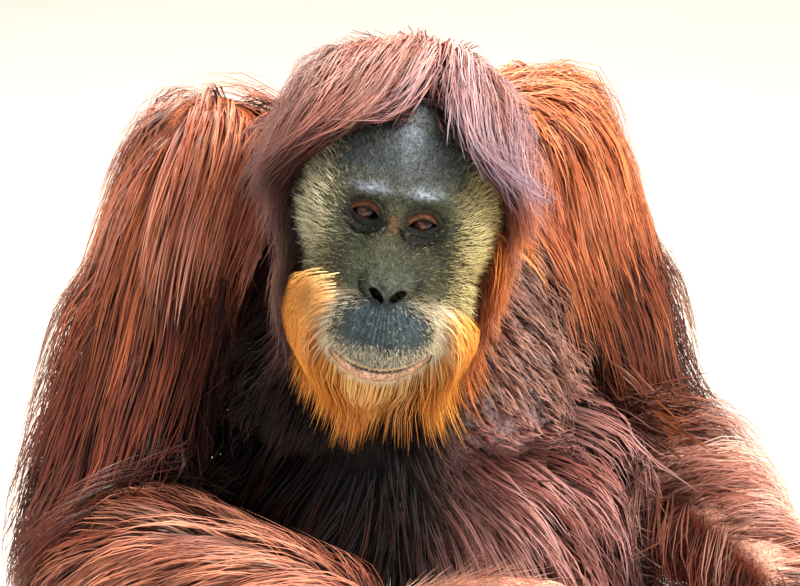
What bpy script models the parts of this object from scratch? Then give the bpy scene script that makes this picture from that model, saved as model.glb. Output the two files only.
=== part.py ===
"""A seated orangutan, life size, as a still museum model, in metres with +Z up.

The animal faces -Y and sits on its rump, knees out to the sides and feet flat on the floor.
Its right forearm lies across the lap, its left hand hangs over the left knee, and its head is
bowed a little and turned to its right. The origin is the middle of the flat under the rump.
Left and right in the names are the animal's own: its left is at +X.

Every part of the body is a smooth loft over elliptical sections. Long flat locks of coat grow
from it along the lie of the hair, are fused to it, and the parts are then cut clear of each
other by a thin gap.
"""

import math
import random

import bmesh
import bpy
import numpy as np
from mathutils import Euler, Matrix, Vector
from mathutils.bvhtree import BVHTree

# Gaps and fits
GAP = 0.0003
CLEAR = 0.00045
LOCK_CLEAR = 0.0018
FLOOR_CLEAR = 0.004

# The body's sections, bare of coat: x, y, z, half width, half depth
TORSO = [
    (0.000, 0.000, 0.020, 0.122, 0.106),
    (0.000, -0.005, 0.090, 0.148, 0.126),
    (0.004, -0.030, 0.180, 0.170, 0.148),
    (0.008, -0.050, 0.280, 0.177, 0.156),
    (0.008, -0.052, 0.380, 0.160, 0.144),
    (0.004, -0.046, 0.470, 0.146, 0.128),
    (0.000, -0.042, 0.550, 0.134, 0.108),
    (0.000, -0.050, 0.622, 0.100, 0.086),
    (0.004, -0.088, 0.662, 0.070, 0.066),
]
TORSO_SEAMS = {"hips": (-0.1, 0.165), "belly": (0.165, 0.385), "chest": (0.385, 0.8)}

# Joints of the limbs, in the pose of the photo. right_ is at -X.
SHOULDER = {"right": (-0.148, -0.040, 0.614), "left": (0.106, -0.030, 0.640)}
ELBOW = {"right": (-0.270, -0.132, 0.304), "left": (0.206, 0.058, 0.322)}
WRIST = {"right": (-0.010, -0.365, 0.312), "left": (0.335, -0.228, 0.296)}
KNUCKLES = {"right": (0.085, -0.392, 0.342), "left": (0.378, -0.300, 0.248)}
HAND_BACK = {"right": (0.05, -0.45, 0.90), "left": (0.45, -0.60, 0.66)}
HIP = {"right": (-0.088, -0.030, 0.105), "left": (0.088, -0.030, 0.105)}
KNEE = {"right": (-0.270, -0.205, 0.165), "left": (0.282, -0.190, 0.180)}
ANKLE = {"right": (-0.150, -0.372, 0.062), "left": (0.158, -0.365, 0.062)}
TOE_AIM = {"right": (0.26, -0.96, 0.0), "left": (-0.16, -0.98, 0.0)}

# Bare radii along each limb, from its root to its end
UPPER_ARM_RADII = (0.062, 0.056, 0.048, 0.044, 0.042)
FOREARM_RADII = (0.042, 0.047, 0.046, 0.037, 0.029)
THIGH_RADII = (0.084, 0.078, 0.066, 0.056, 0.052)
SHIN_RADII = (0.050, 0.048, 0.043, 0.036, 0.032)

# Depth of the coat over the bare body, and the share of it that the core under the locks takes
COAT = {
    "hips": 0.030, "belly": 0.030, "chest": 0.028,
    "upper_arm": 0.038, "forearm": 0.020, "thigh": 0.030, "shin": 0.022,
}
CORE_SHARE = 0.5

# Locks of coat. A lock's width and thickness along its length, as shares of its greatest.
LOCK_STATIONS = (0.0, 0.30, 0.58, 0.83)
LOCK_WIDE = (0.62, 1.00, 0.92, 0.56)
LOCK_THICK = (0.85, 1.00, 0.80, 0.55)
LOCK_SUNK = -0.006
LOCK_STEPS = 12
# Rows round each limb: share of the way along, angles round it, length, width, height over the
# core. Angle 0 is the way the animal faces, or up on a limb that lies level, and angles grow
# towards the animal's outer side. Each row lies over the one beyond it.
UPPER_ARM_LOCKS = [
    (-0.04, (-15, 50, 115), 0.205, 0.068, 0.021),
    (0.18, (-58, 12, 82, 152), 0.200, 0.068, 0.017),
    (0.48, (-24, 46, 116, 184), 0.190, 0.064, 0.011),
]
FOREARM_LOCKS = [
    (0.86, (-90, 0, 90), 0.150, 0.050, 0.016),
    (0.52, (-120, -30, 60, 150), 0.160, 0.060, 0.010),
]
THIGH_LOCKS = [(0.34, (-10, 60), 0.170, 0.066, 0.016), (0.68, (25, 95), 0.150, 0.060, 0.010)]
SHIN_LOCKS = [(0.12, (-40, 50), 0.130, 0.050, 0.015), (0.50, (5, 95), 0.120, 0.044, 0.009)]
# Rows round the trunk: height, angles from the front towards its left, length, width, height over
# the core, outward sway
CHEST_LOCKS = [
    (0.570, (-30, 26, 64), 0.170, 0.064, 0.018, 0.22),
    (0.455, (4, 44), 0.160, 0.064, 0.011, 0.30),
    (0.640, (128, 168, 208), 0.190, 0.070, 0.020, 0.0),
    (0.510, (148, 188, 226), 0.190, 0.074, 0.013, 0.0),
]
BELLY_LOCKS = [
    (0.320, (-14, 22, 58), 0.170, 0.066, 0.011, 0.30),
    (0.375, (128, 168, 208, 240), 0.190, 0.076, 0.016, 0.0),
    (0.260, (108, 148, 188, 228), 0.170, 0.074, 0.010, 0.0),
]
HIPS_LOCKS = [(0.145, (122, 178, 234), 0.110, 0.076, 0.009, 0.0)]
# Locks of the head: angle down from the crown, angle round from the front, length, width, height,
# weight, cling
CROWN_LOCKS = [
    (68, (96, -92), 0.120, 0.052, 0.008, 1.2, 0.4),
    (38, (72, 108), 0.175, 0.056, 0.012, 0.7, 0.16),
    (38, (-72, -108, 150, -150), 0.165, 0.056, 0.012, 1.6, 0.4),
    (12, (44, 82), 0.215, 0.056, 0.017, 0.5, 0.2),
    (12, (-44, -84, 124, -124), 0.190, 0.056, 0.014, 1.5, 0.7),
    (24, (176,), 0.180, 0.060, 0.014, 1.5, 0.7),
]
# Locks of the beard: angle round the mouth from straight down, how far the tip drops below its
# middle, width, how far it stands forward
BEARD_LOCKS = [
    (0, 0.066, 0.040, 0.000), (25, 0.092, 0.040, 0.000), (50, 0.080, 0.040, 0.000), (76, 0.048, 0.036, 0.000),
    (102, 0.016, 0.032, 0.000), (128, -0.014, 0.028, 0.000),
    (14, 0.070, 0.038, 0.009), (44, 0.072, 0.040, 0.009),
]
BEARD_MIDDLE = -0.112
BEARD_REACH = 0.080
WHISKER_LOCKS = [(-0.010, 0.115)]

# The head, in its own frame: x to the animal's left, -y forward, z up, origin between the eyes
HEAD_PLACE = (-0.005, -0.268, 0.639)
HEAD_TURN = Euler((math.radians(-1.0), math.radians(7.5), math.radians(-4.0)), "YXZ")
HEAD_HEART = (0.0, 0.050, -0.020)
HEAD_MASSES = [
    ((0.0, 0.090, 0.035), (0.076, 0.088, 0.080)),
    ((0.0, 0.056, -0.008), (0.084, 0.060, 0.080)),
    ((0.0, 0.020, -0.075), (0.054, 0.062, 0.068)),
    ((0.0, 0.050, -0.075), (0.072, 0.056, 0.070)),
]
MASS_BLEND = 16.0
MUZZLE_AIM = (0.0, -0.090, -0.058)
EYE_X = 0.0240
EYE_Z = {"left": -0.0020, "right": 0.0020}
EYE_Y = 0.0165
EYE_RADIUS = 0.0125
# Swellings and hollows of the face: x, z, width, height, rise. Those off the middle come in pairs.
FACE_FORMS = [
    (0.027, 0.027, 0.019, 0.009, 0.0070),
    (0.000, 0.024, 0.016, 0.010, 0.0030),
    (0.0265, 0.000, 0.015, 0.011, -0.0070),
    (0.000, -0.004, 0.010, 0.014, 0.0020),
    (0.000, -0.040, 0.013, 0.010, 0.0085),
    (0.013, -0.046, 0.006, 0.006, 0.0040),
    (0.062, -0.004, 0.020, 0.040, 0.0050),
    (0.000, -0.092, 0.034, 0.022, 0.0050),
]
HEAD_COAT = 0.042
BEARD = 0.040
MOUTH_X = 0.004
MOUTH_Z = -0.1235
MOUTH_HALF = 0.046
MOUTH_SMILE = 0.011
LIP_RADIUS = 0.0042
COAT_COLOURS = {
    "back": (0.36, 0.12, 0.045), "arm": (0.40, 0.13, 0.050), "belly": (0.17, 0.075, 0.060),
    "leg": (0.33, 0.11, 0.045), "head": (0.20, 0.15, 0.11),
}
SKIN_COLOUR = (0.060, 0.052, 0.045)
EYE_COLOUR = (0.11, 0.035, 0.012)


# Scene, materials and small helpers

def clear_scene():
    for obj in list(bpy.data.objects):
        bpy.data.objects.remove(obj, do_unlink=True)


def collection(name):
    made = bpy.data.collections.new(name)
    bpy.context.scene.collection.children.link(made)
    return made


def material(name, colour, roughness):
    made = bpy.data.materials.new(name)
    made.use_nodes = True
    shader = made.node_tree.nodes["Principled BSDF"]
    shader.inputs["Base Color"].default_value = (*colour, 1.0)
    shader.inputs["Roughness"].default_value = roughness
    shader.inputs["Metallic"].default_value = 0.0
    return made


def mesh_object(name, points, faces):
    """A mesh object from points and faces, its faces turned outwards."""
    bm = bmesh.new()
    verts = [bm.verts.new(p) for p in points]
    for face in faces:
        bm.faces.new([verts[i] for i in face])
    bmesh.ops.recalc_face_normals(bm, faces=bm.faces)
    mesh = bpy.data.meshes.new(name)
    bm.to_mesh(mesh)
    bm.free()
    obj = bpy.data.objects.new(name, mesh)
    BODY.objects.link(obj)
    return obj


def copy_of(obj, name):
    made = bpy.data.objects.new(name, obj.data.copy())
    BODY.objects.link(made)
    return made


def remove(*objects):
    for obj in objects:
        bpy.data.objects.remove(obj, do_unlink=True)


def surface_tree(obj):
    """A search tree of an object's surface, for the nearest point or a ray."""
    mesh = obj.data
    return BVHTree.FromPolygons([v.co for v in mesh.vertices], [p.vertices for p in mesh.polygons])


# Lofts

def rings_closed(name, rings, first_pole, last_pole):
    """A closed skin over rings of points, drawn to a pole at each end."""
    count = len(rings[0])
    points = [first_pole] + [p for ring in rings for p in ring] + [last_pole]
    last = len(points) - 1
    faces = [(0, 1 + (j + 1) % count, 1 + j) for j in range(count)]
    for i in range(len(rings) - 1):
        a, b = 1 + i * count, 1 + (i + 1) * count
        for j in range(count):
            k = (j + 1) % count
            faces += [(a + j, a + k, b + k), (a + j, b + k, b + j)]
    a = 1 + (len(rings) - 1) * count
    faces += [(last, a + j, a + (j + 1) % count) for j in range(count)]
    return mesh_object(name, points, faces)


def smooth_stations(stations, steps):
    """Sections read from a smooth curve through the given ones, steps to a span."""
    rows = np.array(stations, float)
    rows = np.vstack([2 * rows[0] - rows[1], rows, 2 * rows[-1] - rows[-2]])
    made = []
    for i in range(1, len(rows) - 2):
        a, b, c, d = rows[i - 1:i + 3]
        for k in range(steps):
            t = k / steps
            made.append(0.5 * (2 * b + (c - a) * t + (2 * a - 5 * b + 4 * c - d) * t * t
                               + (3 * b - a - 3 * c + d) * t ** 3))
    return np.array(made + [rows[-2]])


def section_axes(rows, hint):
    """For each section, the spine's direction, the axis across it and the axis to its front."""
    ahead = np.gradient(rows[:, :3], axis=0)
    ahead /= np.linalg.norm(ahead, axis=1)[:, None]
    across = np.array(hint, float) - (ahead @ np.array(hint, float))[:, None] * ahead
    across /= np.linalg.norm(across, axis=1)[:, None]
    return ahead, across, np.cross(ahead, across)


def loft(name, stations, hint, sides, steps, grow=0.0, round_ends=(0.7, 0.7)):
    """A closed, round-ended form over elliptical sections, every section grown by the same depth."""
    rows = smooth_stations(stations, steps)
    ahead, across, front = section_axes(rows, hint)
    turn = np.linspace(0, 2 * math.pi, sides, endpoint=False)

    def ring(i, share, shift):
        centre = rows[i, :3] + ahead[i] * shift
        wide, deep = (rows[i, 3] + grow) * share, (rows[i, 4] + grow) * share
        return [centre + across[i] * wide * math.cos(a) + front[i] * deep * math.sin(a) for a in turn]

    def reach(i, end):
        return round_ends[end] * min(rows[i, 3] + grow, rows[i, 4] + grow)

    last = len(rows) - 1
    half = math.radians(45)
    rings = [ring(0, math.cos(half), -reach(0, 0) * math.sin(half))]
    rings += [ring(i, 1.0, 0.0) for i in range(len(rows))]
    rings.append(ring(last, math.cos(half), reach(last, 1) * math.sin(half)))
    return rings_closed(name, rings, rows[0, :3] - ahead[0] * reach(0, 0), rows[last, :3] + ahead[last] * reach(last, 1))


def limb_stations(start, end, radii, bow=(0.0, 0.0, 0.0)):
    """Round sections evenly spaced from one joint to the next, bowed by a vector at mid length."""
    a, b, bend = np.array(start), np.array(end), np.array(bow)
    made = []
    for i, radius in enumerate(radii):
        t = i / (len(radii) - 1)
        made.append((*(a + (b - a) * t + bend * math.sin(math.pi * t)), radius, radius))
    return made


# The head

def head_surface(aims):
    """Points of the head's bare surface along unit vectors from its heart, in the head's frame."""
    heart = np.array(HEAD_HEART)
    total = 0.0
    for centre, radii in HEAD_MASSES:
        radii = np.array(radii)
        d, c = aims / radii, (heart - np.array(centre)) / radii
        a, b, k = (d * d).sum(1), d @ c, c @ c - 1
        total = total + ((-b + np.sqrt(b * b - a * k)) / a) ** MASS_BLEND
    points = heart + aims * (total ** (1 / MASS_BLEND))[:, None]
    x, y, z = points.T
    facing = np.clip((0.062 - y) / 0.03, 0, 1)
    rise = 0
    for cx, cz, wide, high, amount in FACE_FORMS:
        for side in ((1,) if cx == 0 else (1, -1)):
            rise = rise + amount * np.exp(-((x - side * cx) / wide) ** 2 - ((z - cz) / high) ** 2)
    points[:, 1] -= rise * facing
    return points


def ramp(value, low, high):
    t = np.clip((value - low) / (high - low), 0, 1)
    return t * t * (3 - 2 * t)


def head_coat(points):
    """Depth of coat over points of the bare head: none on the face, hair round it, beard below."""
    x, y, z = points.T
    oval = np.hypot(x / 0.086, (z - 0.004) / 0.088)
    scalp = np.maximum(ramp(oval, 1.0, 1.25), ramp(y, 0.055, 0.085)) * ramp(z, -0.09, -0.05)
    lips_oval = np.hypot((x - MOUTH_X) / 0.054, (z + 0.098) / 0.048)
    beard = ramp(lips_oval, 1.0, 1.3) * ramp(-z, 0.040, 0.085) * ramp(-y, -0.11, -0.08)
    return np.maximum(HEAD_COAT * scalp, BEARD * beard) * CORE_SHARE


def head_core(name, rings, sides):
    """The head as a loft of rings about the muzzle, close together over the face."""
    pole = Vector(MUZZLE_AIM).normalized()
    turn = pole.to_track_quat("Z", "Y").to_matrix()
    shares = (np.arange(1, rings) / rings)
    tilt = math.pi * (0.62 * shares + 0.38 * shares ** 2.6)
    around = np.linspace(0, 2 * math.pi, sides, endpoint=False)
    aims = np.array([[math.sin(t) * math.cos(a), math.sin(t) * math.sin(a), math.cos(t)]
                     for t in tilt for a in around] + [[0, 0, 1], [0, 0, -1]])
    points = head_surface(aims @ np.array(turn).T)
    points += (aims @ np.array(turn).T) * head_coat(points)[:, None]
    rows = [points[i * sides:(i + 1) * sides] for i in range(rings - 1)]
    obj = rings_closed(name, rows, points[-2], points[-1])
    obj.data.transform(HEAD_MATRIX)
    return obj


def tube(name, points, radii, sides=5):
    """A round bent bar with pointed ends, in the head's frame, moved to its place."""
    rows = np.array([(*p, r, r) for p, r in zip(points, radii)])
    ahead, across, front = section_axes(rows, (0.05, 0.9, 0.2))
    turn = np.linspace(0, 2 * math.pi, sides, endpoint=False)
    rings = [[rows[i, :3] + rows[i, 3] * (across[i] * math.cos(a) + front[i] * math.sin(a)) for a in turn]
             for i in range(1, len(rows) - 1)]
    obj = rings_closed(name, rings, rows[0, :3], rows[-1, :3])
    obj.data.transform(HEAD_MATRIX)
    return obj


def on_face(x, z):
    """The point of the bare face at that place across and up, in the head's frame."""
    aim = np.array([[x, -0.045, z]]) - np.array(HEAD_HEART)
    for _ in range(12):
        point = head_surface(aim / np.linalg.norm(aim, axis=1)[:, None])[0]
        aim = aim + np.array([[x - point[0], 0, z - point[2]]])
    return point


def mouth_line(x):
    """Height of the mouth's line: lowest in the middle, rising to its corners."""
    return MOUTH_Z + MOUTH_SMILE * ((x - MOUTH_X) / MOUTH_HALF) ** 2


def lips():
    """Upper and lower lip, and the blade that cuts the line between them."""
    made = []
    spread = MOUTH_X + np.linspace(-1, 1, 9) * MOUTH_HALF
    share = dict(zip(spread, np.linspace(-1, 1, 9)))
    for name, drop, size in (("lip_upper", 0.0045, 0.9), ("lip_lower", -0.0062, 1.25)):
        points = [on_face(x, mouth_line(x) + drop * (1 - share[x] ** 2)) for x in spread]
        points = [p + np.array([0, 0.0012, 0]) for p in points]
        radii = [LIP_RADIUS * size * math.sqrt(1 - (share[x] / 1.04) ** 2) for x in spread]
        made.append(tube(name, points, radii))
    points = [on_face(x, mouth_line(x)) + np.array([0, -0.0030, 0]) for x in spread]
    blade = tube("mouth_blade", points, [0.0022 if 0 < i < 8 else 0 for i in range(9)], 4)
    return made, blade


def nostrils():
    """Cutters for the two nostrils, close-set slots that slant out and up under the nose tip."""
    made = []
    for side in (1, -1):
        inner, outer = on_face(side * 0.0045, -0.0565), on_face(side * 0.0150, -0.0500)
        middle = (inner + outer) / 2
        points = [inner, inner * 0.7 + middle * 0.3, middle, outer * 0.7 + middle * 0.3, outer]
        made.append(tube(f"nostril_{side}", points, [0, 0.0030, 0.0036, 0.0026, 0], 6))
    return made


def lids():
    """Upper and lower lid of each eye, arcs of flesh that lap over the eyeball."""
    made = []
    for side in (1, -1):
        for name, reach, height, size in (("upper", 0.0128, 0.0066, 0.0030), ("lower", 0.0128, -0.0064, 0.0026)):
            points, radii = [], []
            for i in range(7):
                a = math.pi * i / 6
                x, z = -reach * math.cos(a), height * math.sin(a)
                y = EYE_Y - math.sqrt(max(EYE_RADIUS ** 2 - x * x - z * z, 0.0)) - 0.0004
                points.append((side * EYE_X + x, min(y, EYE_Y - 0.0042), z + EYE_Z["left" if side > 0 else "right"]))
                radii.append(size * math.sin(a) ** 0.5 if 0 < i < 6 else 0.0)
            made.append(tube(f"lid_{name}_{side}", points, radii))
    return made


def eye(side):
    sign = 1 if side == "left" else -1
    bm = bmesh.new()
    bmesh.ops.create_uvsphere(bm, u_segments=12, v_segments=8, radius=EYE_RADIUS)
    mesh = bpy.data.meshes.new(f"eye_{side}")
    bm.to_mesh(mesh)
    bm.free()
    mesh.transform(HEAD_MATRIX @ Matrix.Translation((sign * EYE_X, EYE_Y, EYE_Z[side])) @ Matrix.Rotation(math.pi / 2, 4, "X"))
    obj = bpy.data.objects.new(f"eye_{side}", mesh)
    BODY.objects.link(obj)
    return obj


def ear(side):
    """A small rounded ear with its cup hollowed from the front."""
    sign = 1 if side == "left" else -1
    outer = [(0.076 + 0.017 * t, 0.084 + 0.006 * t, 0.004, (0.020 - 0.004 * (1 - t)), (0.013 - 0.004 * (1 - t)))
             for t in (0.0, 0.5, 1.0)]
    stations = [(sign * x, y, z, high, wide) for x, y, z, high, wide in outer]
    obj = loft(f"ear_{side}", stations, (0, 0, 1), 10, 1, round_ends=(0.3, 0.35))
    cup_stations = [(sign * 0.0885, 0.080, 0.004, 0.012, 0.006), (sign * 0.1020, 0.083, 0.004, 0.014, 0.0085)]
    cup = loft(f"ear_cup_{side}", cup_stations, (0, 0, 1), 8, 1, round_ends=(0.6, 0.3))
    subtract(obj, cup)
    remove(cup)
    obj.data.transform(HEAD_MATRIX)
    return obj


# Locks

def march(tree, root, heading, length, lift, weight, cling):
    """A lock's line and the outward direction along it: it lies over the core and hangs as it can."""
    here, ahead = Vector(root), Vector(heading).normalized()
    normal = tree.find_nearest(here)[1]
    ahead = (ahead - normal * ahead.dot(normal) * 0.85).normalized()
    stride = length / LOCK_STEPS
    line = []
    for i in range(LOCK_STEPS + 1):
        near, normal, _, _ = tree.find_nearest(here)
        height = (here - near).dot(normal)
        want = LOCK_SUNK + (lift - LOCK_SUNK) * min(1.0, i / (LOCK_STEPS * 0.25))
        if height < want or (here - near).length < lift * 2.5:
            here = here + normal * (want - height) * (1.0 if height < want else cling)
        line.append((here.copy(), normal.copy()))
        ahead = (ahead + Vector((0, 0, -weight)) / LOCK_STEPS).normalized()
        if height < want + 0.004:
            ahead = (ahead - normal * min(ahead.dot(normal), 0) - normal * max(ahead.dot(normal), 0) * cling).normalized()
        here = here + ahead * stride
    return line


def lock(name, tree, root, heading, length, width, lift, weight=1.0, cling=0.5, thick=0.010):
    """One lock that lies over the core from its root."""
    return lock_along(name, march(tree, root, heading, length, lift, weight, cling), width, thick)


def lock_along(name, line, width, thick):
    """One flat tapered lock: thin ridged sections along its line, drawn out to a tip."""
    places = [line[round(t * LOCK_STEPS)][0] for t in LOCK_STATIONS]
    ups = [line[round(t * LOCK_STEPS)][1] for t in LOCK_STATIONS]
    tip = line[-1][0]
    rings = []
    for i, (here, up) in enumerate(zip(places, ups)):
        ahead = (places + [tip])[i + 1] - (places[i - 1] if i else here)
        side = up.cross(ahead).normalized()
        over = ahead.cross(side).normalized()
        wide, deep = width * LOCK_WIDE[i] / 2, thick * LOCK_THICK[i] / 2
        rings.append([here + side * wide - over * deep, here + over * deep, here - side * wide - over * deep])
    return blade(name, rings, tip)


def blade(name, rings, tip):
    """A closed skin over rings of three points, flat at its root and drawn to a tip."""
    points = [p for ring in rings for p in ring] + [tip]
    last = len(points) - 1
    faces = [(0, 1, 2)]
    for i in range(len(rings) - 1):
        a, b = i * 3, i * 3 + 3
        for j in range(3):
            k = (j + 1) % 3
            faces += [(a + j, a + k, b + k), (a + j, b + k, b + j)]
    a = (len(rings) - 1) * 3
    faces += [(last, a + j, a + (j + 1) % 3) for j in range(3)]
    return mesh_object(name, points, faces)


def cast(tree, inside, aim):
    """Where a ray from inside the core leaves it."""
    hit = tree.ray_cast(Vector(inside) + Vector(aim).normalized() * 0.5, -Vector(aim).normalized())
    return hit[0]


def limb_locks(tree, start, end, front, outer, rows, chance, towards_end=True, **shape):
    """Locks in rows round a limb, their tips towards its end or its start, and weighed down."""
    a, b = Vector(start), Vector(end)
    along = (b - a).normalized()
    front = (Vector(front) - along * along.dot(Vector(front))).normalized()
    outer_axis = along.cross(front)
    if outer_axis.dot(Vector(outer)) < 0:
        outer_axis = -outer_axis
    made = []
    for share, angles, length, width, lift in rows:
        for angle in angles:
            turn = math.radians(angle + chance.uniform(-7, 7))
            aim = front * math.cos(turn) + outer_axis * math.sin(turn)
            inside = a.lerp(b, share + chance.uniform(-0.04, 0.04))
            heading = (along if towards_end else -along) + aim * 0.1
            made.append(lock("lock", tree, cast(tree, inside, aim), heading, length * chance.uniform(0.88, 1.12),
                             width * chance.uniform(0.9, 1.1), lift, **shape))
    return made


def trunk_locks(tree, rows, chance, **shape):
    """Locks in rows round the trunk that hang down it, some swaying outwards from the middle."""
    made = []
    for height, angles, length, width, lift, sway in rows:
        for angle in angles:
            turn = math.radians(angle + chance.uniform(-5, 5))
            aim = Vector((math.sin(turn), -math.cos(turn), 0))
            inside = (0.0, -0.045, height + chance.uniform(-0.012, 0.012))
            across = Vector((math.cos(turn), math.sin(turn), 0))
            heading = Vector((0, 0, -1)) + across * sway + aim * 0.05
            made.append(lock("lock", tree, cast(tree, inside, aim), heading, length * chance.uniform(0.88, 1.12),
                             width * chance.uniform(0.9, 1.1), lift, **shape))
    return made


def crown_locks(tree, chance):
    """Locks that fall all round from the crown, those in front parted to both sides of the face."""
    turn = HEAD_TURN.to_matrix()
    heart = HEAD_MATRIX @ Vector(HEAD_HEART)
    made = []
    for down, angles, length, width, lift, weight, cling in CROWN_LOCKS:
        for angle in angles:
            polar, azimuth = math.radians(down), math.radians(angle + chance.uniform(-4, 4))
            outward = Vector((math.sin(azimuth), -math.cos(azimuth), 0))
            aim = outward * math.sin(polar) + Vector((0, 0, 1)) * math.cos(polar)
            heading = outward * math.cos(polar) - Vector((0, 0, 1)) * math.sin(polar)
            if abs(angle) < 90:
                heading = heading + Vector((math.copysign(1.6, angle), 0.35, 0))
            made.append(lock("lock", tree, cast(tree, heart, turn @ aim), turn @ heading, length * chance.uniform(0.92, 1.1),
                             width * chance.uniform(0.92, 1.08), lift, weight, cling))
    return made


def beard_locks(tree, chance):
    """Locks round the mouth that spread from it and hang, and whiskers down each cheek's edge."""
    turn = HEAD_TURN.to_matrix()
    heart = HEAD_MATRIX @ Vector(HEAD_HEART)
    made = []
    for side in (1, -1):
        for angle, drop, width, forward in BEARD_LOCKS:
            if angle == 0 and side < 0:
                continue
            bend = math.radians(angle + chance.uniform(-3, 3)) * side
            place = Vector((MOUTH_X + 0.050 * math.sin(bend), -0.020, -0.104 - 0.042 * math.cos(bend)))
            root = cast(tree, heart, turn @ (place - Vector(HEAD_HEART)))
            tip = HEAD_MATRIX @ Vector((MOUTH_X + BEARD_REACH * math.sin(bend), 0.012 * abs(math.sin(bend)) - forward,
                                        BEARD_MIDDLE - drop * chance.uniform(0.94, 1.06)))
            out = turn @ Vector((math.sin(bend), -1.1, -math.cos(bend) * 0.5))
            middle = root.lerp(tip, 0.42) + out * (0.009 + forward)
            line = []
            for i in range(LOCK_STEPS + 1):
                t = i / LOCK_STEPS
                here = (root - out * 0.006) * (1 - t) ** 2 + middle * 2 * t * (1 - t) + tip * t * t
                line.append((here, out.normalized()))
            made.append(lock_along("lock", line, width, 0.009))
        for height, length in WHISKER_LOCKS:
            aim = turn @ (Vector((side * 0.095, 0.045, height)) - Vector(HEAD_HEART))
            heading = turn @ Vector((side * 0.25, -0.05, -1))
            made.append(lock("lock", tree, cast(tree, heart, aim), heading, length, 0.034, 0.010, weight=0.5, cling=0.3))
    return made


def grow_locks(cores):
    """Every node's locks, grown over its core."""
    chance = random.Random(7)
    grown = {}
    trees = {name: surface_tree(obj) for name, obj in cores.items()}
    trees["trunk"] = trees.pop("trunk_whole")
    grown["head"] = crown_locks(trees["head"], chance) + beard_locks(trees["head"], chance)
    for side in ("left", "right"):
        outer = (1, 0, 0) if side == "left" else (-1, 0, 0)
        grown[f"upper_arm_{side}"] = limb_locks(
            trees[f"upper_arm_{side}"], SHOULDER[side], ELBOW[side], (0, -1, 0), outer, UPPER_ARM_LOCKS, chance,
            weight=0.7, cling=0.6)
        grown[f"forearm_{side}"] = limb_locks(
            trees[f"forearm_{side}"], ELBOW[side], WRIST[side], (0, 0, 1), (0, -1, 0) if side == "right" else outer,
            FOREARM_LOCKS, chance, towards_end=False, weight=1.1, cling=0.35)
        grown[f"thigh_{side}"] = limb_locks(
            trees[f"thigh_{side}"], HIP[side], KNEE[side], (0, 0, 1), outer, THIGH_LOCKS, chance,
            weight=0.9, cling=0.4)
        grown[f"shin_{side}"] = limb_locks(
            trees[f"shin_{side}"], KNEE[side], ANKLE[side], (0, -1, 0), outer, SHIN_LOCKS, chance,
            weight=0.8, cling=0.4)
    for name, rows in (("chest", CHEST_LOCKS), ("belly", BELLY_LOCKS), ("hips", HIPS_LOCKS)):
        grown[name] = trunk_locks(trees["trunk"], rows, chance, weight=0.4, cling=0.5)
    return grown


# Hands and feet

def digit(name, start, aim, palm, lengths, radius, curl, thin=0.78):
    """A finger or toe of bent joints that curl towards the palm."""
    here, aim, palm = Vector(start), Vector(aim).normalized(), Vector(palm).normalized()
    hinge = aim.cross(palm).normalized()
    stations = [(*(here - aim * radius * 0.7), radius, radius)]
    for i, length in enumerate(lengths):
        turn = Matrix.Rotation(curl[i], 3, hinge)
        aim = turn @ aim
        here = here + aim * length
        size = radius * (1 - (1 - thin) * (i + 1) / len(lengths))
        stations.append((*here, size, size))
    return loft(name, stations, tuple(hinge), 6, 1, round_ends=(0.5, 0.8))


def hand(side):
    """A long hook-like hand: flat palm, four curled fingers and a short thumb."""
    wrist, knuckle = Vector(WRIST[side]), Vector(KNUCKLES[side])
    aim = (knuckle - wrist).normalized()
    back = Vector(HAND_BACK[side])
    back = (back - aim * back.dot(aim)).normalized()
    across = aim.cross(back).normalized()
    thumb_sign = -1 if side == "right" else 1
    rows = [(wrist - aim * 0.012, 0.026, 0.019), (wrist + aim * 0.03, 0.034, 0.020),
            (wrist + aim * 0.07, 0.039, 0.019), (knuckle, 0.038, 0.015)]
    palm = loft(f"hand_{side}", [(*p, w, d) for p, w, d in rows], tuple(across), 10, 1, grow=0.002, round_ends=(0.5, 0.6))
    pieces = []
    for i, (offset, size) in enumerate(((-0.0285, 0.94), (-0.0095, 1.0), (0.0095, 0.98), (0.0285, 0.86))):
        start = knuckle + across * offset * thumb_sign * -1
        splay = across * offset * thumb_sign * -1 * 2.0
        lengths = [0.043 * size, 0.034 * size, 0.024 * size]
        pieces.append(digit(f"finger_{i}", start, aim + splay, -back, lengths, 0.0112, (0.50, 0.72, 0.50)))
    thumb_start = wrist + aim * 0.030 + across * thumb_sign * 0.030 - back * 0.004
    thumb_aim = aim * 0.75 + across * thumb_sign * 0.65 - back * 0.45
    pieces.append(digit("thumb", thumb_start, thumb_aim, -back, [0.026, 0.020], 0.0105, (0.2, 0.35)))
    fuse(palm, pieces)
    return palm


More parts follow.
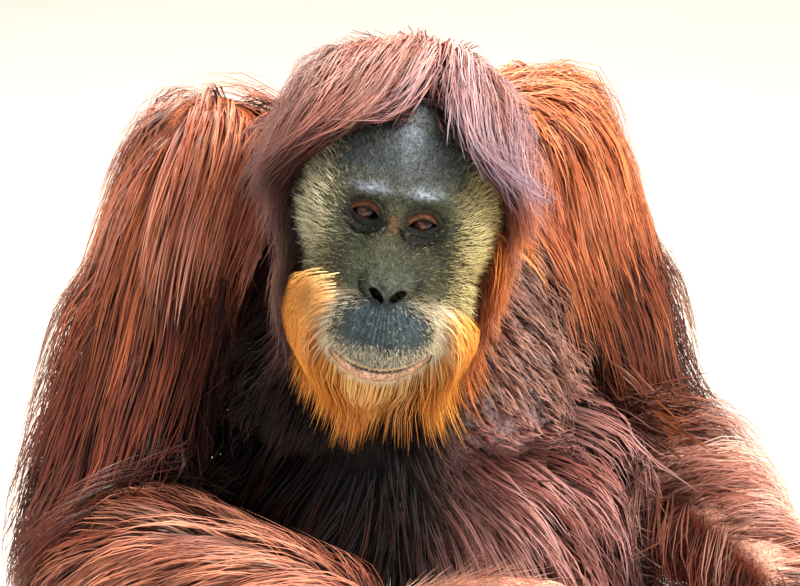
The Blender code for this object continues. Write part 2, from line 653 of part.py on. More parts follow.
def foot(side):
    """A long grasping foot, its sole flat on the floor: heel, arch, four curled toes and a short big toe."""
    ankle = Vector(ANKLE[side])
    aim = Vector(TOE_AIM[side]).normalized()
    up = Vector((0, 0, 1))
    inward = aim.cross(up).normalized()
    if (side == "right") != (inward.x > 0):
        inward = -inward
    base = Vector((ankle.x, ankle.y, 0.0))
    rows = [(base - aim * 0.026 + up * 0.026, 0.024, 0.026), (base + aim * 0.015 + up * 0.028, 0.030, 0.030),
            (base + aim * 0.060 + up * 0.022, 0.033, 0.023), (base + aim * 0.105 + up * 0.018, 0.036, 0.018)]
    sole = loft(f"foot_{side}", [(*p, w, d) for p, w, d in rows], tuple(inward), 10, 1, grow=0.003, round_ends=(0.8, 0.6))
    pieces = []
    for i, offset in enumerate((-0.029, -0.010, 0.010, 0.027)):
        start = base + aim * (0.108 - 0.25 * abs(offset)) + inward * offset + up * 0.017
        lengths = [0.040 - 0.1 * abs(offset), 0.030, 0.020]
        curl = (-0.20, 0.45, 0.42)
        pieces.append(digit(f"toe_{i}", start, aim + inward * offset * 3, -up, lengths, 0.0115, curl))
    hallux_start = base + aim * 0.030 + inward * 0.024 + up * 0.016
    pieces.append(digit("big_toe", hallux_start, aim * 0.45 + inward, -up, [0.026, 0.018], 0.0110, (-0.05, 0.12)))
    leg = limb_stations(ankle + Vector((0, 0, 0.012)), base + up * 0.030, (0.030, 0.030, 0.029))
    pieces.append(loft("ankle", leg, tuple(inward), 8, 1, grow=0.004, round_ends=(0.3, 0.6)))
    fuse(sole, pieces)
    return sole


# Booleans and parting

def apply_boolean(obj, operation, other=None, others=None):
    modifier = obj.modifiers.new("join", "BOOLEAN")
    modifier.operation = operation
    modifier.solver = "MANIFOLD"
    if others is None:
        modifier.object = other
    else:
        modifier.operand_type = "COLLECTION"
        modifier.collection = others
    graph = bpy.context.evaluated_depsgraph_get()
    mesh = bpy.data.meshes.new_from_object(obj.evaluated_get(graph))
    obj.modifiers.clear()
    obj.data = mesh


def subtract(obj, cutter):
    apply_boolean(obj, "DIFFERENCE", other=cutter)


def fuse(obj, pieces):
    """Joins a node's pieces into one body with one union, and removes them."""
    if not pieces:
        return
    group = bpy.data.collections.new("pieces")
    bpy.context.scene.collection.children.link(group)
    for piece in pieces:
        BODY.objects.unlink(piece)
        group.objects.link(piece)
    apply_boolean(obj, "UNION", others=group)
    remove(*pieces)
    bpy.data.collections.remove(group)


def keep_largest(obj):
    """Keeps only the closed surface that reaches furthest, and drops scraps and sealed hollows."""
    bm = bmesh.new()
    bm.from_mesh(obj.data)
    seen, groups = set(), []
    for vert in bm.verts:
        if vert in seen:
            continue
        group, todo = [], [vert]
        seen.add(vert)
        while todo:
            here = todo.pop()
            group.append(here)
            for edge in here.link_edges:
                other = edge.other_vert(here)
                if other not in seen:
                    seen.add(other)
                    todo.append(other)
        groups.append(group)
    groups.sort(key=len, reverse=True)
    loose = [v for group in groups[1:] for v in group]
    bmesh.ops.delete(bm, geom=loose, context="VERTS")
    bm.to_mesh(obj.data)
    bm.free()


def inflated(obj, depth):
    """A copy grown by a small depth past every face, which cuts its neighbour with a gap."""
    made = copy_of(obj, "cutter")
    mesh = made.data
    normals = [[] for _ in mesh.vertices]
    for polygon in mesh.polygons:
        if polygon.area > 1e-9:
            for index in polygon.vertices:
                normals[index].append(polygon.normal.copy())
    moves = []
    for vert, around in zip(mesh.vertices, normals):
        aim = vert.normal.copy()
        for _ in range(8):
            worst = min(around, key=aim.dot, default=aim)
            if aim.normalized().dot(worst) > 0.9:
                break
            aim = (aim.normalized() + worst * 0.3).normalized()
        lean = min((aim.dot(normal) for normal in around), default=1.0)
        moves.append(aim * depth / max(lean, 0.3))
    for vert, move in zip(mesh.vertices, moves):
        vert.co += move
    return made


def boxes_meet(a, b):
    def box(obj):
        points = np.array([v.co for v in obj.data.vertices])
        return points.min(0) - 0.001, points.max(0) + 0.001
    (al, ah), (bl, bh) = box(a), box(b)
    return bool((al < bh).all() and (bl < ah).all())


def cut_clear(obj, others, depth):
    """Cuts an object clear of each of the others that it may meet."""
    for other in others:
        if boxes_meet(obj, other):
            cutter = inflated(other, depth)
            subtract(obj, cutter)
            remove(cutter)


def slab(obj, name, low, high):
    """The part of an object between two heights, closed flat, less half the gap at each end."""
    bm = bmesh.new()
    bm.from_mesh(obj.data)
    for height, up in ((low + GAP / 2, -1), (high - GAP / 2, 1)):
        cut = bmesh.ops.bisect_plane(
            bm, geom=bm.verts[:] + bm.edges[:] + bm.faces[:], plane_co=(0, 0, height), plane_no=(0, 0, up), clear_outer=True
        )
        edges = [e for e in cut["geom_cut"] if isinstance(e, bmesh.types.BMEdge)]
        if edges:
            bmesh.ops.holes_fill(bm, edges=edges, sides=0)
    bmesh.ops.recalc_face_normals(bm, faces=bm.faces)
    mesh = bpy.data.meshes.new(name)
    bm.to_mesh(mesh)
    bm.free()
    made = bpy.data.objects.new(name, mesh)
    BODY.objects.link(made)
    return made


# Assembly

def coat_core(part):
    return COAT[part] * CORE_SHARE


def build_cores():
    """The body's parts in the order in which they take their place, each with its core of coat."""
    cores = {}
    for side in ("left", "right"):
        cores[f"eye_{side}"] = eye(side)
    for side in ("left", "right"):
        cores[f"ear_{side}"] = ear(side)
    head = head_core("head", 22, 28)
    lip_pieces, blade = lips()
    fuse(head, lip_pieces + lids())
    cutters = [blade] + nostrils()
    for cutter in cutters:
        subtract(head, cutter)
    remove(*cutters)
    cores["head"] = head
    torso = loft("torso", TORSO, (1, 0, 0), 24, 2, grow=coat_core("belly"), round_ends=(0.5, 0.7))
    for name in ("chest", "belly", "hips"):
        cores[name] = slab(torso, name, *TORSO_SEAMS[name])
    for side in ("left", "right"):
        bow = (0.012 if side == "left" else -0.012, 0.0, 0.0)
        stations = limb_stations(SHOULDER[side], ELBOW[side], UPPER_ARM_RADII, bow)
        cores[f"upper_arm_{side}"] = loft(f"upper_arm_{side}", stations, (0, 1, 0), 12, 1, grow=coat_core("upper_arm"))
    for side in ("left", "right"):
        stations = limb_stations(ELBOW[side], WRIST[side], FOREARM_RADII)
        cores[f"forearm_{side}"] = loft(f"forearm_{side}", stations, (0, 0, 1), 12, 1, grow=coat_core("forearm"))
    for side in ("left", "right"):
        stations = limb_stations(HIP[side], KNEE[side], THIGH_RADII)
        cores[f"thigh_{side}"] = loft(f"thigh_{side}", stations, (0, 0, 1), 12, 1, grow=coat_core("thigh"))
    for side in ("left", "right"):
        stations = limb_stations(KNEE[side], ANKLE[side], SHIN_RADII)
        cores[f"shin_{side}"] = loft(f"shin_{side}", stations, (0, 0, 1), 12, 1, grow=coat_core("shin"))
    for side in ("left", "right"):
        cores[f"hand_{side}"] = hand(side)
        cores[f"foot_{side}"] = foot(side)
    return cores, torso


def level_floor(obj, lowest):
    """Cuts a node flat at that height above the floor, if it reaches lower."""
    if min(v.co.z for v in obj.data.vertices) >= lowest:
        return
    bm = bmesh.new()
    bmesh.ops.create_cube(bm, size=1.0, matrix=Matrix.Translation((0, 0, -0.5)) @ Matrix.Diagonal((3, 3, 1, 1)))
    mesh = bpy.data.meshes.new("floor")
    bm.to_mesh(mesh)
    bm.free()
    mesh.transform(Matrix.Translation((0, 0, lowest)))
    floor = bpy.data.objects.new("floor", mesh)
    BODY.objects.link(floor)
    subtract(obj, floor)
    remove(floor)


TOUCHES_FLOOR = ("hips", "foot_left", "foot_right")


def material_of(name, kinds):
    if name.startswith("eye"):
        return kinds["eye"]
    if name.startswith(("hand", "foot", "ear")):
        return kinds["skin"]
    if name in ("head", "belly"):
        return kinds[name]
    if name in ("chest", "hips"):
        return kinds["back"]
    return kinds["arm"] if "arm" in name else kinds["leg"]


def part_cores(cores):
    """Cuts each core clear of those before it, and flat at the floor."""
    done = []
    for name, obj in cores.items():
        cut_clear(obj, done, CLEAR)
        level_floor(obj, 0.0 if name in TOUCHES_FLOOR else FLOOR_CLEAR)
        keep_largest(obj)
        done.append(obj)


def join_locks(cores, grown):
    """Fuses each node's locks to its core, clear of every other core and of the locks before it."""
    laid = []
    for name in LOCK_ORDER:
        obj = cores[name]
        locks, rest = grown[name][0], grown[name][1:]
        fuse(locks, rest)
        level_floor(locks, FLOOR_CLEAR)
        cut_clear(locks, [other for other in cores.values() if other is not obj], LOCK_CLEAR)
        cut_clear(locks, laid, CLEAR)
        laid.append(copy_of(locks, "laid"))
        fuse(obj, [locks])
        keep_largest(obj)
    remove(*laid)


LOCK_ORDER = (
    "head", "upper_arm_left", "upper_arm_right", "forearm_right", "forearm_left", "chest", "belly", "hips",
    "thigh_left", "thigh_right", "shin_left", "shin_right",
)


def main():
    cores, torso = build_cores()
    grown = grow_locks({**cores, "trunk_whole": torso})
    remove(torso)
    part_cores(cores)
    join_locks(cores, grown)
    kinds = {name: material(f"coat_{name}", colour, 0.6) for name, colour in COAT_COLOURS.items()}
    kinds["skin"] = material("bare_skin", SKIN_COLOUR, 0.55)
    kinds["eye"] = material("eye", EYE_COLOUR, 0.1)
    for name, obj in cores.items():
        obj.data.shade_smooth()
        obj.data.set_sharp_from_angle(angle=math.radians(40))
        obj.data.materials.append(material_of(name, kinds))
    print("triangles", sum(len(p.vertices) - 2 for o in cores.values() for p in o.data.polygons))


clear_scene()
BODY = collection("orangutan")
HEAD_MATRIX = Matrix.Translation(HEAD_PLACE) @ HEAD_TURN.to_matrix().to_4x4()
main()
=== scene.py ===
"""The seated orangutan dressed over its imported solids: one skin, eyes, nails and a long coat.

Metres, +Z up, the animal faces -Y, and left and right are its own. The skin is the bare body
under the coat. Each hair piece is a mesh of thin tufts that follow the lie of the coat.
"""

import math

import bmesh
import bpy
import numpy as np
from mathutils import Euler, Matrix, Vector
from mathutils.bvhtree import BVHTree


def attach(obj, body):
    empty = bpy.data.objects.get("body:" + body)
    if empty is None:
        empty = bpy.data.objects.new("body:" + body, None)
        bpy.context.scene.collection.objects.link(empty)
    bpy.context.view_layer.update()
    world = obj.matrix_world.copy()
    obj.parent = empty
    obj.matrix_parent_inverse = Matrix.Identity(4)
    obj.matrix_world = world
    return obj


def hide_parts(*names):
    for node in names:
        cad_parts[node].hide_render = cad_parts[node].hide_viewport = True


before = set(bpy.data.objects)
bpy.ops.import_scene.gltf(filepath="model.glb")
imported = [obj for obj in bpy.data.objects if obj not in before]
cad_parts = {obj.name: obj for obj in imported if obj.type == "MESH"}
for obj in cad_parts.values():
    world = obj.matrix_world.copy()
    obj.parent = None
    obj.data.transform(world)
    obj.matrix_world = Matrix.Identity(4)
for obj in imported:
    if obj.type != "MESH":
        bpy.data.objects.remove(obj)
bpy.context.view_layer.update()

# The bare body's sections and joints, the same as the solids are built from
TORSO = [
    (0.000, 0.000, 0.020, 0.122, 0.106),
    (0.000, -0.005, 0.090, 0.148, 0.126),
    (0.004, -0.030, 0.180, 0.170, 0.148),
    (0.008, -0.050, 0.280, 0.177, 0.156),
    (0.008, -0.052, 0.380, 0.160, 0.144),
    (0.004, -0.046, 0.470, 0.146, 0.128),
    (0.000, -0.042, 0.550, 0.134, 0.108),
    (0.000, -0.050, 0.622, 0.100, 0.086),
    (0.004, -0.088, 0.662, 0.070, 0.066),
]
SHOULDER = {"right": (-0.154, -0.040, 0.635), "left": (0.110, -0.030, 0.646)}
ELBOW = {"right": (-0.270, -0.132, 0.304), "left": (0.206, 0.058, 0.322)}
WRIST = {"right": (-0.010, -0.365, 0.312), "left": (0.335, -0.228, 0.296)}
KNUCKLES = {"right": (0.085, -0.392, 0.342), "left": (0.378, -0.300, 0.248)}
HAND_BACK = {"right": (0.05, -0.45, 0.90), "left": (0.45, -0.60, 0.66)}
HIP = {"right": (-0.088, -0.030, 0.105), "left": (0.088, -0.030, 0.105)}
KNEE = {"right": (-0.270, -0.205, 0.165), "left": (0.282, -0.190, 0.180)}
ANKLE = {"right": (-0.150, -0.372, 0.062), "left": (0.158, -0.365, 0.062)}
TOE_AIM = {"right": (0.26, -0.96, 0.0), "left": (-0.16, -0.98, 0.0)}
UPPER_ARM_RADII = (0.062, 0.056, 0.048, 0.044, 0.042)
FOREARM_RADII = (0.042, 0.047, 0.046, 0.037, 0.029)
THIGH_RADII = (0.084, 0.078, 0.066, 0.056, 0.052)
SHIN_RADII = (0.050, 0.048, 0.043, 0.036, 0.032)

# The head, in its own frame: x to the animal's left, -y forward, z up, origin between the eyes
HEAD_PLACE = (-0.005, -0.268, 0.639)
HEAD_TURN = Euler((math.radians(-1.0), math.radians(7.5), math.radians(-4.0)), "YXZ")
HEAD_MATRIX = Matrix.Translation(HEAD_PLACE) @ HEAD_TURN.to_matrix().to_4x4()
HEAD_HEART = (0.0, 0.050, -0.020)
HEAD_MASSES = [
    ((0.0, 0.090, 0.035), (0.076, 0.088, 0.080)),
    ((0.0, 0.056, -0.008), (0.084, 0.060, 0.080)),
    ((0.0, 0.020, -0.075), (0.054, 0.062, 0.068)),
    ((0.0, 0.050, -0.075), (0.072, 0.056, 0.070)),
]
MASS_BLEND = 16.0
MUZZLE_AIM = (0.0, -0.090, -0.058)
EYE_X = 0.0240
EYE_Z = {"left": -0.0020, "right": 0.0020}
EYE_Y = 0.0165
EYE_RADIUS = 0.0125
MOUTH_X = 0.004
MOUTH_Z = -0.1235
MOUTH_HALF = 0.0415
MOUTH_SMILE = 0.011
CROWN = (0.010, 0.160, 0.062)
PARTING_X = 0.013
MUZZLE_SHIFT = 0.004
# Swellings and hollows of the face: x, z, width, height, rise. Those off the middle come in pairs.
FACE_FORMS = [
    (0.027, 0.027, 0.019, 0.009, 0.0070),
    (0.000, 0.024, 0.016, 0.010, 0.0030),
    (0.0265, 0.000, 0.015, 0.011, -0.0070),
    (0.000, -0.004, 0.010, 0.014, 0.0020),
    (0.000, -0.044, 0.009, 0.009, 0.0135),
    (0.0150, -0.0445, 0.0062, 0.0062, 0.0090),
    (0.000, -0.029, 0.022, 0.0045, -0.0028),
    (0.062, -0.004, 0.020, 0.040, 0.0050),
    (0.000, -0.092, 0.034, 0.022, 0.0050),
    (0.0195, -0.043, 0.0035, 0.0060, -0.0022),
    (0.012, -0.022, 0.006, 0.016, 0.0012),
    (0.041, -0.034, 0.012, 0.010, 0.0016),
]

# What is random is drawn from this seed
SEED = 11


def linear(hex_colour):
    """A colour given as sRGB hex, turned linear."""
    parts = np.array([int(hex_colour[i:i + 2], 16) / 255 for i in (1, 3, 5)])
    return np.where(parts <= 0.04045, parts / 12.92, ((parts + 0.055) / 1.055) ** 2.4)


def ramp(value, low, high):
    t = np.clip((value - low) / (high - low), 0, 1)
    return t * t * (3 - 2 * t)


def unit(rows):
    return rows / np.maximum(np.linalg.norm(rows, axis=-1, keepdims=True), 1e-9)


# Meshes

def mesh_object(name, points, faces):
    """A mesh object from points and faces, its faces turned outwards."""
    mesh = bpy.data.meshes.new(name)
    mesh.from_pydata([tuple(p) for p in points], [], faces)
    bm = bmesh.new()
    bm.from_mesh(mesh)
    bmesh.ops.recalc_face_normals(bm, faces=bm.faces)
    bm.to_mesh(mesh)
    bm.free()
    obj = bpy.data.objects.new(name, mesh)
    bpy.context.scene.collection.objects.link(obj)
    return obj


def remove(*objects):
    for obj in objects:
        bpy.data.objects.remove(obj, do_unlink=True)


def settle(obj):
    """Turns the object's modifiers into plain mesh."""
    graph = bpy.context.evaluated_depsgraph_get()
    mesh = bpy.data.meshes.new_from_object(obj.evaluated_get(graph))
    obj.modifiers.clear()
    obj.data = mesh


def joined(name, objects):
    """One object with the faces of several, which are removed."""
    points, faces = [], []
    for obj in objects:
        base = len(points)
        points += [tuple(v.co) for v in obj.data.vertices]
        faces += [[base + i for i in p.vertices] for p in obj.data.polygons]
    remove(*objects)
    mesh = bpy.data.meshes.new(name)
    mesh.from_pydata(points, [], faces)
    made = bpy.data.objects.new(name, mesh)
    bpy.context.scene.collection.objects.link(made)
    return made


def points_of(mesh):
    flat = np.empty(len(mesh.vertices) * 3)
    mesh.vertices.foreach_get("co", flat)
    return flat.reshape(-1, 3)


def edges_of(mesh):
    flat = np.empty(len(mesh.edges) * 2, np.int32)
    mesh.edges.foreach_get("vertices", flat)
    return flat.reshape(-1, 2)


def spread(values, edges, rounds, share=0.5):
    """Evens out a value of each point with those of its neighbours."""
    count = np.maximum(np.bincount(edges.ravel(), minlength=len(values)), 1)[:, None]
    for _ in range(rounds):
        total = np.empty_like(values)
        for k in range(values.shape[1]):
            total[:, k] = (np.bincount(edges[:, 0], values[edges[:, 1], k], len(values))
                           + np.bincount(edges[:, 1], values[edges[:, 0], k], len(values)))
        values = values + (total / count - values) * (share if np.isscalar(share) else share[:, None])
    return values


def smooth_mesh(obj, rounds, share=0.5):
    mesh = obj.data
    made = spread(points_of(mesh), edges_of(mesh), rounds, share)
    mesh.vertices.foreach_set("co", made.astype(np.float32).ravel())
    mesh.update()


def voxel_skin(obj, size, rounds):
    """Overlapping closed forms grown into one even skin, then smoothed."""
    modifier = obj.modifiers.new("skin", "REMESH")
    modifier.mode = "VOXEL"
    modifier.voxel_size = size
    settle(obj)
    smooth_mesh(obj, rounds)


def boolean(obj, operation, others):
    """Joins to an object, or cuts from it, several closed objects, which are removed."""
    group = bpy.data.collections.new("pieces")
    bpy.context.scene.collection.children.link(group)
    for other in others:
        bpy.context.scene.collection.objects.unlink(other)
        group.objects.link(other)
    modifier = obj.modifiers.new("join", "BOOLEAN")
    modifier.operation = operation
    modifier.solver = "MANIFOLD"
    modifier.operand_type = "COLLECTION"
    modifier.collection = group
    settle(obj)
    remove(*others)
    bpy.data.collections.remove(group)


def rings_closed(name, rings, first_pole, last_pole):
    """A closed skin over rings of points, drawn to a pole at each end."""
    count = len(rings[0])
    points = [first_pole] + [p for ring in rings for p in ring] + [last_pole]
    last = len(points) - 1
    faces = [(0, 1 + (j + 1) % count, 1 + j) for j in range(count)]
    for i in range(len(rings) - 1):
        a, b = 1 + i * count, 1 + (i + 1) * count
        faces += [(a + j, a + (j + 1) % count, b + (j + 1) % count, b + j) for j in range(count)]
    a = 1 + (len(rings) - 1) * count
    faces += [(last, a + j, a + (j + 1) % count) for j in range(count)]
    return mesh_object(name, points, faces)


def smooth_stations(stations, steps):
    """Sections read from a smooth curve through the given ones, steps to a span."""
    rows = np.array(stations, float)
    rows = np.vstack([2 * rows[0] - rows[1], rows, 2 * rows[-1] - rows[-2]])
    made = []
    for i in range(1, len(rows) - 2):
        a, b, c, d = rows[i - 1:i + 3]
        for k in range(steps):
            t = k / steps
            made.append(0.5 * (2 * b + (c - a) * t + (2 * a - 5 * b + 4 * c - d) * t * t
                               + (3 * b - a - 3 * c + d) * t ** 3))
    return np.array(made + [rows[-2]])


def section_axes(rows, hint):
    """For each section, the spine's direction, the axis across it and the axis to its front."""
    ahead = unit(np.gradient(rows[:, :3], axis=0))
    across = unit(np.array(hint, float) - (ahead @ np.array(hint, float))[:, None] * ahead)
    return ahead, across, np.cross(ahead, across)


def loft(name, stations, hint, sides, steps, grow=0.0, round_ends=(0.7, 0.7)):
    """A closed, round-ended form over elliptical sections."""
    rows = smooth_stations(stations, steps)
    ahead, across, front = section_axes(rows, hint)
    turn = np.linspace(0, 2 * math.pi, sides, endpoint=False)

    def ring(i, angle, end):
        reach = round_ends[end] * (min(rows[i, 3], rows[i, 4]) + grow) * (1 if end else -1)
        centre = rows[i, :3] + ahead[i] * reach * math.sin(angle)
        wide, deep = (rows[i, 3] + grow) * math.cos(angle), (rows[i, 4] + grow) * math.cos(angle)
        return [centre + across[i] * wide * math.cos(a) + front[i] * deep * math.sin(a) for a in turn]

    last = len(rows) - 1
    bends = [math.radians(a) for a in (68, 45, 22)]
    rings = [ring(0, a, 0) for a in bends] + [ring(i, 0.0, 0) for i in range(len(rows))]
    rings += [ring(last, a, 1) for a in reversed(bends)]
    poles = [rows[0, :3] - ahead[0] * round_ends[0] * (min(rows[0, 3:]) + grow),
             rows[last, :3] + ahead[last] * round_ends[1] * (min(rows[last, 3:]) + grow)]
    return rings_closed(name, rings, *poles)


def limb_stations(start, end, radii, bow=(0.0, 0.0, 0.0)):
    """Round sections evenly spaced from one joint to the next, bowed by a vector at mid length."""
    a, b, bend = np.array(start), np.array(end), np.array(bow)
    made = []
    for i, radius in enumerate(radii):
        t = i / (len(radii) - 1)
        made.append((*(a + (b - a) * t + bend * math.sin(math.pi * t)), radius, radius))
    return made


# The head

def head_masses(aims):
    """Distance from the head's heart to its plain surface along unit vectors, in its own frame."""
    heart = np.array(HEAD_HEART)
    total = 0.0
    for centre, radii in HEAD_MASSES:
        radii = np.array(radii)
        d, c = aims / radii, (heart - np.array(centre)) / radii
        a, b, k = (d * d).sum(1), d @ c, c @ c - 1
        total = total + ((-b + np.sqrt(b * b - a * k)) / a) ** MASS_BLEND
    return total ** (1 / MASS_BLEND)


def mouth_line(x):
    """Height of the mouth's line: lowest in the middle, rising to its corners."""
    return MOUTH_Z + MOUTH_SMILE * ((x - MOUTH_X) / MOUTH_HALF) ** 2


def nostril_share(x, z, side):
    """How far a point of the face is from a nostril's middle, 1 at the slot's edge."""
    along = np.array((side * 0.0090, 0.0085)) / math.hypot(0.0090, 0.0085)
    dx, dz = x - side * 0.0086, z + 0.0530
    u, v = dx * along[0] + dz * along[1], -dx * along[1] + dz * along[0]
    return np.hypot(u / 0.0078, v / 0.0038)


def almond(x, z, side):
    """Signed share of an eye's opening: under 1 within it."""
    sign = 1 if side == "left" else -1
    dx, dz = x - sign * EYE_X, z - EYE_Z[side]
    lean = dx * sign * 0.10
    high = 0.0052 * np.maximum(1 - (dx / 0.0112) ** 2, 0.02) ** 0.8
    return np.maximum(np.abs(dz + 0.0006 - lean) / high, np.abs(dx) / 0.0112)


def face_relief(points):
    """Raises the face's forms, wrinkles, lips and nose on points of the plain head."""
    full_x, y, z = points.T
    x = full_x - MUZZLE_SHIFT * ramp(-z, 0.015, 0.040)
    facing = np.clip((0.062 - y) / 0.03, 0, 1)
    rise = np.zeros(len(points))
    for cx, cz, wide, high, amount in FACE_FORMS:
        for side in ((1,) if cx == 0 else (1, -1)):
            rise += amount * np.exp(-((x - side * cx) / wide) ** 2 - ((z - cz) / high) ** 2)
    # Lips: the slit between them, the rim of the upper and the swell of the lower
    share = (full_x - MOUTH_X) / MOUTH_HALF
    drop = z - mouth_line(full_x)
    along = np.sqrt(np.clip(1 - share ** 2, 0, 1))
    slit = ramp(1.04 - np.abs(share), 0, 0.10)
    rise -= 0.0052 * np.exp(-(drop / 0.0012) ** 2) * slit
    rise += 0.0024 * np.exp(-((drop - 0.0036) / 0.0030) ** 2) * along
    rise += 0.0060 * np.exp(-((drop + 0.0088) / 0.0068) ** 2) * along
    rise -= 0.0020 * np.exp(-((drop + 0.0190) / 0.0022) ** 2) * along
    rise -= 0.0012 * np.exp(-((np.abs(share) - 1.06) / 0.05) ** 2 - (drop / 0.006) ** 2)
    # Folds that run down the upper lip from the nose
    fan = np.arctan2(x, -(z + 0.030))
    reach = np.hypot(x, z + 0.030)
    folds = np.sin(78 * fan + 2.1 * np.sin(11 * fan)) + 0.5 * np.sin(41 * fan + 1.0)
    rise += 0.0007 * folds * ramp(-z, 0.046, 0.056) * ramp(reach, 0.028, 0.040) * ramp(drop, 0.010, 0.030) * ramp(0.036 - np.abs(x), 0, 0.022)
    rise += 0.0011 * (np.exp(-((np.abs(x) - 0.0036) / 0.0016) ** 2)) * ramp(-z, 0.056, 0.064) * ramp(z, -0.088, -0.070)
    # Nostrils and their rims
    for side in (1, -1):
        slot = nostril_share(x, z, side)
        rise -= 0.0085 * (1 - ramp(slot, 0.60, 1.10))
        rise += 0.0022 * np.exp(-((slot - 1.45) / 0.28) ** 2) * ramp(z, -0.058, -0.050)
    # Creases across the brow, and round the muzzle
    rise -= 0.0006 * np.exp(-((z - 0.043 - 0.10 * np.abs(x)) / 0.0012) ** 2) * ramp(0.030 - np.abs(x), 0, 0.02)
    rise -= 0.0006 * np.exp(-((z - 0.054 - 0.06 * np.abs(x)) / 0.0012) ** 2) * ramp(0.028 - np.abs(x), 0, 0.02)
    rise -= 0.0008 * np.exp(-((np.abs(x) - 0.0045) / 0.0011) ** 2 - ((z - 0.018) / 0.007) ** 2)
    wing = np.hypot(x / 0.0215, (z + 0.0455) / 0.0125)
    rise -= 0.0024 * np.exp(-((wing - 1.16) / 0.12) ** 2) * ramp(np.abs(x), 0.009, 0.014)
    muzzle = np.hypot(x / 0.043, (z + 0.092) / 0.046)
    rise -= 0.0016 * np.exp(-((muzzle - 1.0) / 0.07) ** 2) * ramp(z, -0.110, -0.080)
    for cx, cz, tilt in ((0.030, -0.016, 0.5), (0.034, -0.022, 0.6), (0.038, -0.029, 0.7)):
        for side in (1, -1):
            run = (z - cz) + tilt * (np.abs(x) - cx) - 6 * (np.abs(x) - cx) ** 2
            rise -= 0.0007 * np.exp(-(run / 0.0013) ** 2) * np.exp(-((x - side * cx) / 0.014) ** 2)
    points = points.copy()
    points[:, 1] -= rise * facing
    # Lids: the skin wraps the eyeball, is folded above it and pouched below, and opens on it
    for side, sign in (("left", 1), ("right", -1)):
        dx, dz = x - sign * EYE_X, z - EYE_Z[side]
        far = np.hypot(dx, dz)
        near = (far < 0.030) & (facing > 0.3)
        shell = EYE_Y - np.sqrt(np.maximum((EYE_RADIUS + 0.0024) ** 2 - far ** 2, 0))
        ring = np.hypot(dx, dz * 1.12)
        fold = -0.0013 * np.exp(-((ring - 0.0118) / 0.0010) ** 2) * ramp(dz, 0.001, 0.005)
        fold += 0.0012 * np.exp(-((ring - 0.0142) / 0.0014) ** 2) * ramp(dz, 0.001, 0.005)
        fold += -0.0011 * np.exp(-((ring - 0.0160) / 0.0011) ** 2) * ramp(dz, 0.002, 0.006)
        fold += -0.0012 * np.exp(-((ring - 0.0125) / 0.0010) ** 2) * ramp(-dz, 0.001, 0.004)
        fold += 0.0016 * np.exp(-((ring - 0.0158) / 0.0020) ** 2) * ramp(-dz, 0.001, 0.004)
        fold += -0.0016 * np.exp(-((ring - 0.0195) / 0.0015) ** 2) * ramp(-dz, 0.001, 0.006)
        fold += 0.0010 * np.exp(-((ring - 0.0230) / 0.0022) ** 2) * ramp(-dz, 0.002, 0.008)
        face = points[:, 1] - fold
        blend = 0.0016
        covered = -blend * np.logaddexp(-face / blend, -np.where(far < 0.0145, shell, 1.0) / blend)
        hollow = EYE_Y - np.sqrt(np.maximum((EYE_RADIUS - 0.0018) ** 2 - far ** 2, 1e-6))
        open_share = 1 - ramp(almond(x, z, side), 0.86, 1.06)
        eyed = covered + (np.maximum(hollow, covered) - covered) * open_share
        points[:, 1] = np.where(near, eyed, points[:, 1])
    return points


def head_skin():
    """The whole head as one fine closed skin, finest at the eyes and mouth."""
    pole = Vector(MUZZLE_AIM).normalized()
    turn = np.array(pole.to_track_quat("Z", "Y").to_matrix())
    up = turn.T @ np.array((0, 0, 1.0))
    start = math.atan2(up[1], up[0])
    degrees = np.concatenate([np.arange(0.30, 26, 0.37), np.arange(26, 78, 0.74), np.arange(78, 176, 4.2)])
    theta = np.linspace(0, 2 * math.pi, 268, endpoint=False)
    around = start + theta - 0.38 * np.sin(theta)
    tilt = np.radians(degrees)[:, None]
    aims = np.stack([np.sin(tilt) * np.cos(around), np.sin(tilt) * np.sin(around),
                     np.cos(tilt) * np.ones(len(around))], axis=-1).reshape(-1, 3)
    aims = np.vstack([aims, [[0, 0, 1], [0, 0, -1]]]) @ turn.T
    points = np.array(HEAD_HEART) + aims * head_masses(aims)[:, None]
    points = face_relief(points)
    rows = [points[i * len(around):(i + 1) * len(around)] for i in range(len(degrees))]
    obj = rings_closed("head_skin", rows, points[-2], points[-1])
    obj.data.transform(HEAD_MATRIX)
    return obj


def tube(name, points, radii, sides, hint):
    """A round bent bar with pointed ends, in the head's frame, moved to its place."""
    rows = np.array([(*p, r, r) for p, r in zip(points, radii)])
    ahead, across, front = section_axes(rows, hint)
    turn = np.linspace(0, 2 * math.pi, sides, endpoint=False)
    rings = [[rows[i, :3] + rows[i, 3] * (across[i] * math.cos(a) + front[i] * math.sin(a)) for a in turn]
             for i in range(1, len(rows) - 1)]
    obj = rings_closed(name, rings, rows[0, :3], rows[-1, :3])
    obj.data.transform(HEAD_MATRIX)
    return obj


def lid_rims():
    """The fleshy rim of each lid, on the eyeball along its opening."""
    made = []
    for side, sign in (("left", 1), ("right", -1)):
        for name, height, size in (("upper", 0.0047, 0.0013), ("lower", -0.0057, 0.0011)):
            points, radii = [], []
            for i in range(17):
                t = -1 + i / 8
                x = 0.0112 * t
                z = height * max(1 - t * t, 0) ** 0.8 + x * sign * 0.10 - 0.0003
                y = EYE_Y - math.sqrt(max((EYE_RADIUS + 0.0002) ** 2 - x * x - z * z, 0))
                points.append((sign * EYE_X + x, y, EYE_Z[side] + z))
                radii.append(size * (0.55 + 0.45 * math.sqrt(1 - t * t)) if 0 < i < 16 else 0.0)
            made.append(tube(f"lid_{name}_{side}", points, radii, 8, (0.05, 0.9, 0.2)))
    return made


